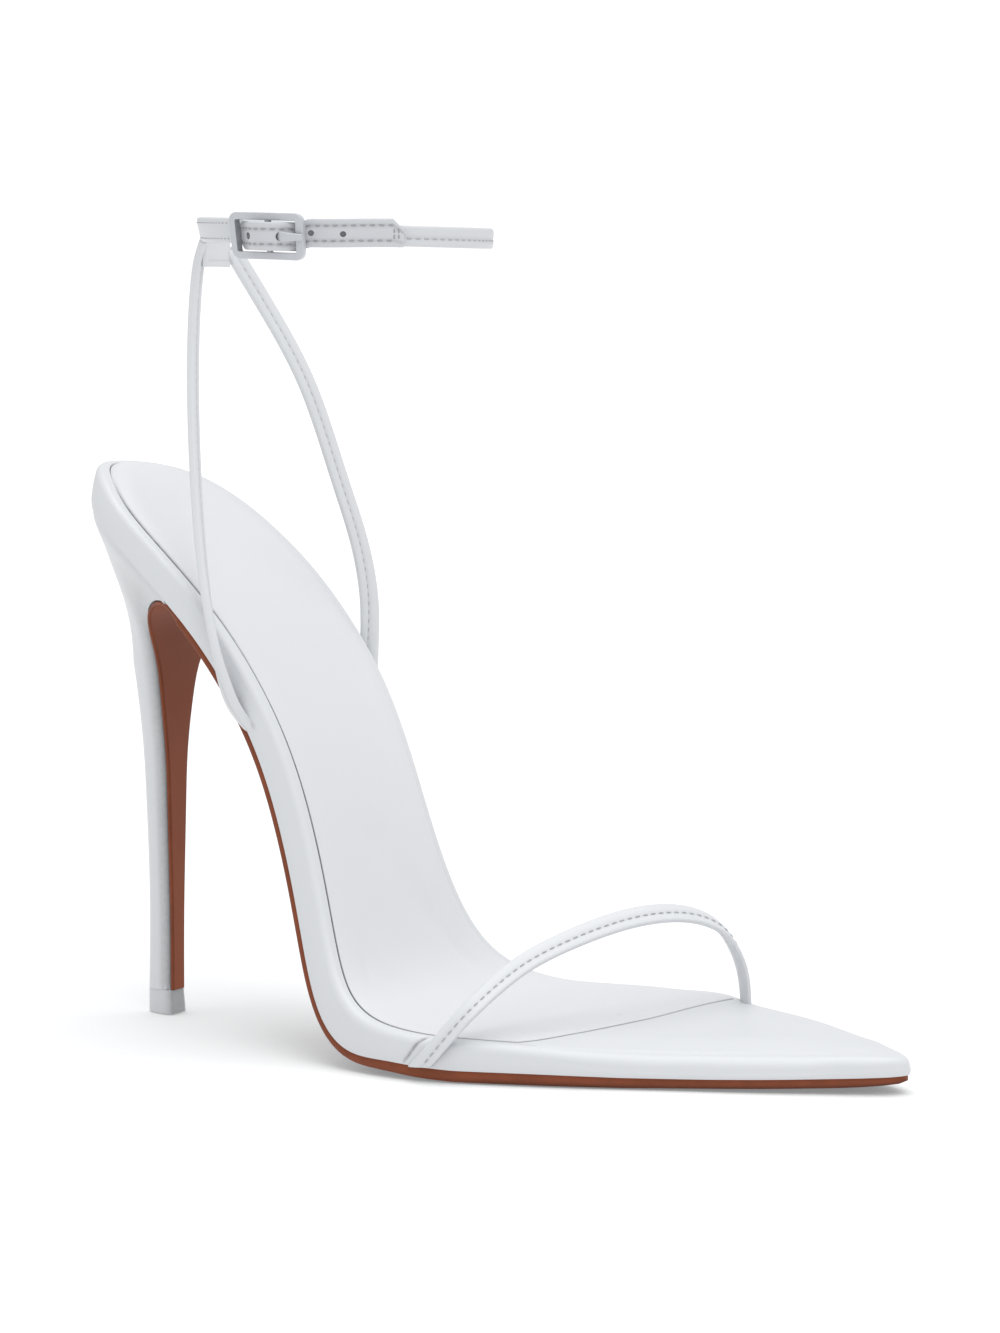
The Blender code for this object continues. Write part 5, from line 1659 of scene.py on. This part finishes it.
@dataclass
class Buckle:
    """White painted frame with its centre bar, and the prong."""

    paint: "Finish"
    loop: AnkleLoop
    half_length: float = 7.75
    half_height: float = 4.2
    corner: float = 1.1
    frame_width: float = 1.6
    frame_thick: float = 1.75
    bar_out: float = 1.5
    bar_radius: float = 0.7
    side_out_front: float = 2.55
    side_out_back: float = 2.8
    prong_width: float = 2.2
    prong_thick: float = 0.95
    prong_eye: float = 1.55
    eye_degrees: tuple[float, float] = (-35.0, -290.0)
    prong_route: Table = (
        # along, out: from the eye, up through the hole and on to the frame's front side
        (1.6, 2.75), (2.9, 2.9), (3.8, 3.6), (4.7, 4.4), (6.2, 4.7), (8.6, 4.3),
    )
    section: StrapProfile = StrapProfile(squareness=0.22, sides=48)
    prong_section: StrapProfile = StrapProfile(squareness=0.8, sides=24)
    inner_shade: Span = (0.9, 0.08)  # painted shade on the frame's inner sides: from this share of the half width inwards, and its run
    prong_tip: tuple[float, float] = (0.6, 0.75)  # shares of its width and thickness left at the tip
    tip_stations: tuple[int, int] = (6, 34)  # stations kept back from the tip, and those it takes
    prong_stations: int = 130
    eye_points: int = 13
    corner_points: int = 10
    side_points: tuple[int, int] = (26, 14)  # of the long sides and of the short ones
    bar_rings: int = 24
    bar_points: int = 20

    def frame_out(self, along: Array) -> Array:
        """How far out the frame lies: low at its bar and raised at both sides, as a parabola.

        Args:
            along: distances along the loop from the bar.

        Returns:
            Distances out from the loop.
        """
        share = along / self.half_length
        mean = (self.side_out_front + self.side_out_back) / 2
        tilt = (self.side_out_front - self.side_out_back) / 2
        return self.bar_out + (mean - self.bar_out) * share**2 + tilt * share

    def build_frame(self) -> None:
        """Frame: a squarish section carried round a rounded rectangle that bows with the ankle."""
        inner = np.array([self.half_length - self.corner, self.half_height - self.corner])
        angle = np.radians(np.linspace(0, 90, self.corner_points))
        arcs = []
        for k, signs in enumerate(((1, 1), (-1, 1), (-1, -1), (1, -1))):
            turned = angle + k * np.pi / 2
            arcs.append(inner * signs + self.corner * np.stack([np.cos(turned), np.sin(turned)], -1))
        sides = []
        for k, arc in enumerate(arcs):
            sides.append(arc)
            share = np.linspace(0, 1, self.side_points[k % 2])[1:-1, None]
            sides.append(blend(arc[-1], arcs[(k + 1) % 4][0], share))
        outline = np.concatenate(sides)
        step = np.roll(outline, -1, axis=0) - np.roll(outline, 1, axis=0)
        outward = unit(np.stack([step[:, 1], -step[:, 0]], -1))
        across, through, _ = self.section.outline()
        section = np.stack([across * self.frame_width / 2, through * self.frame_thick / 2], -1)
        edge = outline[:, None] + outward[:, None] * section[None, :, :1]
        out = self.frame_out(outline[:, 0])[:, None] + section[None, :, 1]
        rings = self.loop.at(edge[..., 0], out, edge[..., 1])
        piece = Piece("buckle_frame_painted")
        # painted shade on the inner sides of the frame
        inner_side_shade = np.clip((-across - self.inner_shade[0]) / self.inner_shade[1], 0, 1)
        piece.grid(rings, round_rows=True, round_columns=True, seam=inner_side_shade)
        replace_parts(piece.build(self.paint), "buckle_frame")
        self.build_bar()

    def build_bar(self) -> None:
        """Round bar between the frame's rails, inside the turned end of the strap."""
        height = np.linspace(-self.half_height, self.half_height, self.bar_rings)
        angle = round_turn(self.bar_points)
        along = np.broadcast_to(self.bar_radius * np.cos(angle), (len(height), len(angle)))
        out = np.broadcast_to(self.bar_out + self.bar_radius * np.sin(angle), along.shape)
        rings = self.loop.at(along, out, np.broadcast_to(height[:, None], along.shape))
        piece = Piece("buckle_bar")
        piece.grid(rings, round_columns=True)
        for ring in (rings[0], rings[-1]):
            piece.grid(rounded_end(ring, np.zeros(3), steps=3), round_columns=True)
        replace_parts(piece.build(self.paint), "buckle_frame")

    def build_prong(self) -> None:
        """Prong: a flattened round section carried round the bar, up through its hole and on to the frame."""
        angle = np.radians(np.linspace(*self.eye_degrees, self.eye_points))
        eye = np.stack([self.prong_eye * np.cos(angle), self.bar_out + self.prong_eye * np.sin(angle)], -1)
        route = SmoothCurve(np.vstack([eye, self.prong_route]))
        places = route.at(route.spread(self.prong_stations))
        tip = ease((np.arange(self.prong_stations)[::-1] + self.tip_stations[0]) / self.tip_stations[1])
        width, thick = (size * (least + (1 - least) * tip)
                        for size, least in zip((self.prong_width, self.prong_thick), self.prong_tip))
        path = self.loop.path(places[:, 0], places[:, 1], width, thick)
        piece = Piece("buckle_prong_painted")
        path.add_to(piece, self.prong_section)
        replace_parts(piece.build(self.paint), "buckle_prong")

    def build(self) -> None:
        """Frame, bar and prong."""
        self.build_frame()
        self.build_prong()


class Socket(Enum):
    """Kinds of socket on a shader group."""

    VALUE = "NodeSocketFloat"
    VECTOR = "NodeSocketVector"


class ShaderGroup:
    """Shader node group with named inputs and outputs, built once and placed in many materials."""

    def __init__(self, name: str, inputs: dict[str, tuple[Socket, float | None]], outputs: Sequence[str]) -> None:
        """Makes the group and its sockets.

        Args:
            name: the group's name.
            inputs: kind and first value of each input.
            outputs: names of the outputs, which are values.
        """
        self.tree = bpy.data.node_groups.new(name, "ShaderNodeTree")
        for label, (kind, value) in inputs.items():
            socket = self.tree.interface.new_socket(label, in_out="INPUT", socket_type=kind.value)
            if value is not None:
                socket.default_value = value
        for label in outputs:
            self.tree.interface.new_socket(label, in_out="OUTPUT", socket_type=Socket.VALUE.value)
        self.start = self.tree.nodes.new("NodeGroupInput").outputs
        self.end = self.tree.nodes.new("NodeGroupOutput")

    def math(self, operation: str, first: object, second: object) -> NodeSocket:
        """Adds a Math node."""
        return math_node(self.tree, operation, first, second)


def feed(node: Node, values: dict[str | int, object]) -> None:
    """Fills a node's inputs.

    Args:
        node: the node.
        values: a socket to read from or a plain value for each input, by name or number.
    """
    for label, value in values.items():
        if isinstance(value, NodeSocket):
            node.id_data.links.new(value, node.inputs[label])
        else:
            node.inputs[label].default_value = value


def math_node(tree: NodeTree, operation: str, first: object, second: object) -> NodeSocket:
    """Adds a Math node.

    Args:
        tree: where it goes.
        operation: what it does.
        first: its first value or socket.
        second: its second one.

    Returns:
        Its output.
    """
    node = tree.nodes.new("ShaderNodeMath")
    node.operation = operation
    feed(node, {0: first, 1: second})
    return node.outputs[0]


def noise_node(tree: NodeTree, vector: object, scale: object, detail: float) -> NodeSocket:
    """Adds a Noise Texture.

    Args:
        tree: where it goes.
        vector: socket with the coordinates.
        scale: size of the noise, as a value or a socket.
        detail: how many finer layers it has.

    Returns:
        Its value.
    """
    node = tree.nodes.new("ShaderNodeTexNoise")
    feed(node, {"Vector": vector, "Scale": scale, "Detail": detail})
    return node.outputs["Fac"]


def grain_group() -> ShaderGroup:
    """Leather grain: pebbles from Voronoi cells, finer pores from noise, and slow changes of tone.

    Returns:
        Group with the outputs Height, for a bump, and Tone, from 0 to 1.
    """
    group = ShaderGroup("leather grain", {"Coordinates": (Socket.VECTOR, None), "Cells": (Socket.VALUE, 1400.0),
                                          "Pores": (Socket.VALUE, 0.4)}, ("Height", "Tone"))
    tree, start = group.tree, group.start
    cells = tree.nodes.new("ShaderNodeTexVoronoi")
    cells.feature = "SMOOTH_F1"
    feed(cells, {"Vector": start["Coordinates"], "Scale": start["Cells"]})
    finer = group.math("MULTIPLY", start["Cells"], PORE_FINENESS)
    pores = noise_node(tree, start["Coordinates"], scale=finer, detail=3.0)
    pores = group.math("MULTIPLY", pores, start["Pores"])
    height = group.math("ADD", cells.outputs["Distance"], pores)
    slow = noise_node(tree, start["Coordinates"], scale=28.0, detail=4.0)
    quick = noise_node(tree, start["Coordinates"], scale=170.0, detail=2.0)
    tones = [group.math("MULTIPLY", noise, share) for noise, share in zip((slow, quick), TONE_SHARES)]
    feed(group.end, {"Height": height, "Tone": group.math("ADD", *tones)})
    return group


def painted_shade_group() -> ShaderGroup:
    """Painted shade in sewn channels, grooves, creases and recesses: its mask broken up by noise.

    Returns:
        Group with the output Mask, from 0 to 1.
    """
    group = ShaderGroup("seam shade", {"Coordinates": (Socket.VECTOR, None), "Seam": (Socket.VALUE, 0.0),
                                       "Amount": (Socket.VALUE, 0.4)}, ("Mask",))
    broken = noise_node(group.tree, group.start["Coordinates"], scale=900.0, detail=2.0)
    broken = group.math("ADD", group.math("MULTIPLY", broken, PAINTED_SHADE_BREAK), PAINTED_SHADE_LEAST)
    mask = group.math("MULTIPLY", group.math("MULTIPLY", group.start["Seam"], group.start["Amount"]), broken)
    feed(group.end, {"Mask": group.math("MINIMUM", mask, 1.0)})
    return group


def rub_group() -> ShaderGroup:
    """Light wear along handled edges: the rub mask, kept where coarse noise is high.

    Returns:
        Group with the output Mask, from 0 to 1.
    """
    group = ShaderGroup("edge rub", {"Coordinates": (Socket.VECTOR, None), "Rub": (Socket.VALUE, 0.0),
                                     "Amount": (Socket.VALUE, 0.3)}, ("Mask",))
    patches = noise_node(group.tree, group.start["Coordinates"], scale=220.0, detail=5.0)
    mask = group.math("MULTIPLY", group.math("MULTIPLY", group.start["Rub"], patches), group.start["Amount"])
    feed(group.end, {"Mask": group.math("MINIMUM", mask, 1.0)})
    return group


@dataclass
class Groups:
    """The shader groups that the finishes share, each built once."""

    grain: ShaderGroup = field(default_factory=grain_group)
    seam: ShaderGroup = field(default_factory=painted_shade_group)
    rub: ShaderGroup = field(default_factory=rub_group)


@dataclass(frozen=True)
class Finish:
    """One finish of the shoe: its colours, gloss, grain, wear and painted shade, made into a material when first used.
    """

    name: str
    slot: str | None
    colour: Colour
    shade: Colour  # the colour that the grain's tone moves towards
    # painted_shade_colour and seam: colour and strength of the shade painted into channels, grooves, creases and
    # recesses
    painted_shade_colour: Colour
    rub_colour: Colour
    roughness: float
    tone: float = 0.3  # how far the tone moves the colour
    gloss_change: float = 0.1  # how far it moves the roughness
    seam: float = 0.4
    rub: float = 0.3
    cells: float = 1400.0  # pebbles of the grain in a metre
    bump: float = 0.12
    bump_depth: float = 0.00008
    coat: float = 0.0
    coat_roughness: float = 0.3
    specular: float = 0.5
    bounce: Colour | None = None  # colour of the light it throws on other pieces, where that is set apart

    def material(self) -> Material:
        """Makes the material, or finds it: one Principled shader fed by the shared groups.

        Returns:
            The finish's material.
        """
        made = bpy.data.materials.get(self.name)
        if made is not None:
            return made
        made = bpy.data.materials.new(self.name)
        made.use_nodes = True
        tree = made.node_tree
        shader = tree.nodes["Principled BSDF"]
        place = tree.nodes.new("ShaderNodeTexCoord").outputs["Object"]
        grain = self.placed(tree, GROUPS.grain, {"Coordinates": place, "Cells": self.cells})
        colour = self.mix(tree, math_node(tree, "MULTIPLY", grain["Tone"], self.tone), self.colour, self.shade)
        # first the painted shade of channels, grooves and creases, then the wear of rubbed edges
        for mask, group, amount, tint in ((Mask.SEAM, GROUPS.seam, self.seam, self.painted_shade_colour),
                                          (Mask.RUB, GROUPS.rub, self.rub, self.rub_colour)):
            kept = tree.nodes.new("ShaderNodeAttribute")
            kept.attribute_name = mask.value
            values = {"Coordinates": place, mask.name.title(): kept.outputs["Fac"], "Amount": amount}
            colour = self.mix(tree, self.placed(tree, group, values)["Mask"], colour, tint)
        if self.bounce is not None:
            thrown = tree.nodes.new("ShaderNodeLightPath").outputs["Is Diffuse Ray"]
            colour = self.mix(tree, thrown, colour, self.bounce)
        change = math_node(tree, "MULTIPLY", math_node(tree, "SUBTRACT", grain["Tone"], 0.5), self.gloss_change)
        bump = tree.nodes.new("ShaderNodeBump")
        feed(bump, {"Strength": self.bump, "Distance": self.bump_depth, "Height": grain["Height"]})
        feed(shader, {"Base Color": colour, "Roughness": math_node(tree, "ADD", change, self.roughness),
                      "Normal": bump.outputs["Normal"], "Coat Weight": self.coat,
                      "Coat Roughness": self.coat_roughness, "Specular IOR Level": self.specular})
        return made

    @staticmethod
    def placed(tree: NodeTree, group: ShaderGroup, values: dict[str | int, object]) -> NodeOutputs:
        """Places a group in a material.

        Args:
            tree: the material's nodes.
            group: the group.
            values: its inputs in this material.

        Returns:
            Its outputs.
        """
        node = tree.nodes.new("ShaderNodeGroup")
        node.node_tree = group.tree
        feed(node, values)
        return node.outputs

    @staticmethod
    def mix(tree: NodeTree, share: object, first: object, second: Colour) -> NodeSocket:
        """Mixes two colours.

        Args:
            tree: the material's nodes.
            share: how much of the second is used, as a value or a socket.
            first: a colour, or a socket that gives one.
            second: a colour.

        Returns:
            Socket with the mixed colour.
        """
        node = tree.nodes.new("ShaderNodeMix")
        node.data_type = "RGBA"
        first = first if isinstance(first, NodeSocket) else (*first, 1.0)
        feed(node, {"Factor": share, "A": first, "B": (*second, 1.0)})
        return node.outputs["Result"]

    def apply(self, piece: Object) -> None:
        """Gives the finish to a piece.

        Args:
            piece: the piece.
        """
        piece.data.materials.append(self.material())


GROUPS = Groups()

# The painted_shade_colour of each finish is the colour of its painted shade.
WHITE_LEATHER = Finish("white leather", "white_leather", colour=(0.655, 0.665, 0.68), shade=(0.615, 0.625, 0.645),
                       painted_shade_colour=(0.30, 0.30, 0.31), rub_colour=(0.60, 0.61, 0.63), roughness=0.42, coat=0.1)
# Its painted_shade_colour is the near-black painted shade of the groove round the sock.
SOCK_LEATHER = Finish("sock leather", "sock_leather", colour=(0.665, 0.67, 0.685), shade=(0.625, 0.63, 0.65),
                      painted_shade_colour=(0.07, 0.07, 0.075), rub_colour=(0.62, 0.62, 0.64), roughness=0.52, seam=0.95,
                      cells=1100.0)
SOLE_LEATHER = Finish("brown sole leather", "sole_leather", colour=(0.31, 0.083, 0.036), shade=(0.21, 0.055, 0.023),
                      painted_shade_colour=(0.05, 0.02, 0.012), rub_colour=(0.14, 0.038, 0.017), roughness=0.5, tone=0.6,
                      rub=1.0, seam=0.8, cells=900.0, specular=0.18, bounce=(0.2, 0.19, 0.19))
TOP_PIECE = Finish("top piece plastic", "top_piece_plastic", colour=(0.61, 0.62, 0.635), shade=(0.55, 0.56, 0.575),
                   painted_shade_colour=(0.3, 0.3, 0.31), rub_colour=(0.5, 0.5, 0.52), roughness=0.45, cells=3000.0, bump=0.05)
# White paint; its colour is set well below white as painted shade for the dimmer light at the ankle.
SHADED_PAINT = Finish("shaded white buckle paint", "buckle_paint", colour=(0.50, 0.515, 0.54), shade=(0.46, 0.475, 0.50),
               painted_shade_colour=(0.16, 0.165, 0.18), rub_colour=(0.55, 0.56, 0.58), roughness=0.28, tone=0.2, seam=0.75,
               cells=5000.0, bump=0.03, coat=0.35)
# Darker copies of the white leather: painted shade for the dimmer light round the ankle.
SHADED_BILLET_LEATHER = replace(WHITE_LEATHER, name="shaded white billet leather", colour=(0.55, 0.56, 0.58),
                         shade=(0.51, 0.52, 0.54))
SHADED_ANKLE_LEATHER = replace(WHITE_LEATHER, name="shaded white ankle leather", colour=(0.60, 0.61, 0.625),
                        shade=(0.56, 0.57, 0.59))
# The thread is white: its grey is painted shade round the stitches in their channels and holes, deeper in the second
# one.
SHADED_THREAD = Finish("white thread with painted shade", "white_leather", colour=(0.42, 0.425, 0.44), shade=(0.35, 0.355, 0.37),
                painted_shade_colour=(0.2, 0.2, 0.21), rub_colour=(0.3, 0.3, 0.31), roughness=0.7, cells=6000.0, bump=0.3)
DEEPER_SHADED_THREAD = replace(SHADED_THREAD, name="white thread with deeper painted shade", colour=(0.33, 0.335, 0.35), shade=(0.26, 0.265, 0.28))
# A raw edge's own dark grey, deepened as painted shade inside the punched holes and the slot.
RAW_EDGE_AND_SHADE = Finish("raw edge and painted shade of a hole", None, colour=(0.22, 0.222, 0.23), shade=(0.16, 0.162, 0.17),
                  painted_shade_colour=(0.03, 0.03, 0.03), rub_colour=(0.05, 0.05, 0.05), roughness=0.8)


@dataclass
class Studio:
    """White floor and background, soft lights, and the camera at the photograph's angle."""

    azimuth: float = 31.52
    elevation: float = 6.195
    distance: float = 1.03212  # metres from the camera to the heel tip
    focal_pixels: float = 4507.2
    image: tuple[int, int] = (1000, 1333)
    heel_tip_pixel: tuple[float, float] = (167.0, 1011.0)
    sensor: float = 36.0
    floor_half: float = 6.0
    floor_below: float = 0.0003
    paper: Colour = (0.76, 0.76, 0.76)
    paper_shade: Colour = (0.745, 0.745, 0.745)
    glow_rise: float = 0.24  # how much more light the floor gives for each metre from the shoe
    glow_start: float = 0.14
    glow_ends: Span = (0.2, 0.62)
    surround: Colour = (0.97, 0.985, 1.0)
    surround_strength: float = 0.74
    seen_strength: float = 1.1
    clip: Span = (0.05, 30.0)

    def build(self) -> None:
        """Floor, world, lights and camera."""
        self.build_floor()
        self.build_world()
        self.area("key softbox", (0.75, -0.55, 1.25), (0.0, 0.0, 0.08), size=1.1, power=4.6)
        self.area("overhead softbox", (-0.05, 0.1, 1.6), (-0.05, 0.0, 0.0), size=1.5, power=13.6)
        self.build_camera()
        bpy.context.scene.view_settings.view_transform = "Standard"

    def build_floor(self) -> None:
        """Plain paper floor of one face that glows though it is no lamp: a little near the shoe, which lightens its
        shadow, and more further from it.
        """
        half = self.floor_half
        corners = [(-half, -half), (half, -half), (half, half), (-half, half)]
        mesh = bpy.data.meshes.new("floor")
        mesh.from_pydata([(x, y, -self.floor_below) for x, y in corners], [], [(0, 1, 2, 3)])
        floor = bpy.data.objects.new("floor", mesh)
        bpy.context.scene.collection.objects.link(floor)
        paper = bpy.data.materials.new("white paper")
        paper.use_nodes = True
        tree = paper.node_tree
        shader = tree.nodes["Principled BSDF"]
        place = tree.nodes.new("ShaderNodeTexCoord").outputs["Object"]
        share = noise_node(tree, place, scale=400.0, detail=2.0)
        far = tree.nodes.new("ShaderNodeVectorMath")
        far.operation = "LENGTH"
        feed(far, {0: place})
        glow = math_node(tree, "MULTIPLY", far.outputs["Value"], self.glow_rise)
        for operation, value in zip(("ADD", "MAXIMUM", "MINIMUM"), (self.glow_start, *self.glow_ends)):
            glow = math_node(tree, operation, glow, value)
        feed(shader, {"Base Color": Finish.mix(tree, share, self.paper, self.paper_shade), "Roughness": 0.9,
                      "Specular IOR Level": 0.1, "Emission Color": glow, "Emission Strength": 1.0})
        mesh.materials.append(paper)

    def build_world(self) -> None:
        """Even white surround, brighter where the camera looks straight at it than as a light."""
        world = bpy.data.worlds.new("studio")
        bpy.context.scene.world = world
        world.use_nodes = True
        tree = world.node_tree
        surround, seen = tree.nodes["Background"], tree.nodes.new("ShaderNodeBackground")
        feed(surround, {"Color": (*self.surround, 1.0), "Strength": self.surround_strength})
        feed(seen, {"Color": (1.0, 1.0, 1.0, 1.0), "Strength": self.seen_strength})
        choose = tree.nodes.new("ShaderNodeMixShader")
        rays = tree.nodes.new("ShaderNodeLightPath")
        feed(choose, {"Fac": rays.outputs["Is Camera Ray"], 1: surround.outputs[0], 2: seen.outputs[0]})
        feed(tree.nodes["World Output"], {"Surface": choose.outputs[0]})

    @staticmethod
    def area(name: str, place: Place, target: Place, size: float, power: float) -> None:
        """Adds a square softbox that faces a target.

        Args:
            name: its name.
            place: where it hangs, in metres.
            target: where it points.
            size: length of its sides.
            power: its light in watts.
        """
        light = bpy.data.lights.new(name, "AREA")
        light.size = size
        light.energy = power
        lamp = bpy.data.objects.new(name, light)
        bpy.context.scene.collection.objects.link(lamp)
        back = unit(np.array(place) - np.array(target))
        right = unit(np.cross([0.0, 1.0, 0.0], back))
        axes = np.column_stack([right, np.cross(back, right), back, place])
        lamp.matrix_world = Matrix([*axes.tolist(), [0, 0, 0, 1]])

    def build_camera(self) -> None:
        """Camera whose image puts the heel tip on its pixel, from the photograph's angle and distance."""
        a, e = np.radians(self.azimuth), np.radians(self.elevation)
        back = np.array([np.sin(a) * np.cos(e), -np.cos(a) * np.cos(e), np.sin(e)])
        right = np.array([np.cos(a), np.sin(a), 0.0])
        up = np.cross(back, right)
        from_middle = (np.array(self.heel_tip_pixel) - np.array(self.image) / 2) / self.focal_pixels
        place = heel_tip_origin() * MM + self.distance * (back - right * from_middle[0] + up * from_middle[1])
        lens = bpy.data.cameras.new("photo camera")
        lens.sensor_width = self.sensor
        lens.lens = self.focal_pixels * self.sensor / max(self.image)
        lens.clip_start, lens.clip_end = self.clip
        camera = bpy.data.objects.new("photo camera", lens)
        bpy.context.scene.collection.objects.link(camera)
        axes = np.column_stack([right, up, back, place])
        camera.matrix_world = Matrix([*axes.tolist(), [0, 0, 0, 1]])
        bpy.context.scene.camera = camera


def main() -> None:
    """Builds the studio and then the shoe from the sole upwards."""
    logging.basicConfig(level=logging.INFO, format="%(name)s: %(message)s")
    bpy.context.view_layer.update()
    Studio().build()
    last, loop = Last(), AnkleLoop()
    unit_below = HeelUnit(last, WHITE_LEATHER, SOLE_LEATHER, TOP_PIECE)
    unit_below.build_outsole()
    unit_below.build_heel()
    unit_below.build_top_piece()
    footbed = Footbed(last, WHITE_LEATHER, SOCK_LEATHER)
    footbed.build_board()
    footbed.build_sock()
    ToeStrap(WHITE_LEATHER, SHADED_THREAD).build()
    Sling(WHITE_LEATHER, SHADED_THREAD, loop).build()
    AnkleStrap(SHADED_ANKLE_LEATHER, SHADED_BILLET_LEATHER, DEEPER_SHADED_THREAD, SHADED_THREAD, RAW_EDGE_AND_SHADE, loop).build()
    Buckle(SHADED_PAINT, replace(loop, buckle_dip=LEVEL_RUN)).build()


if __name__ == "__main__":
    main()
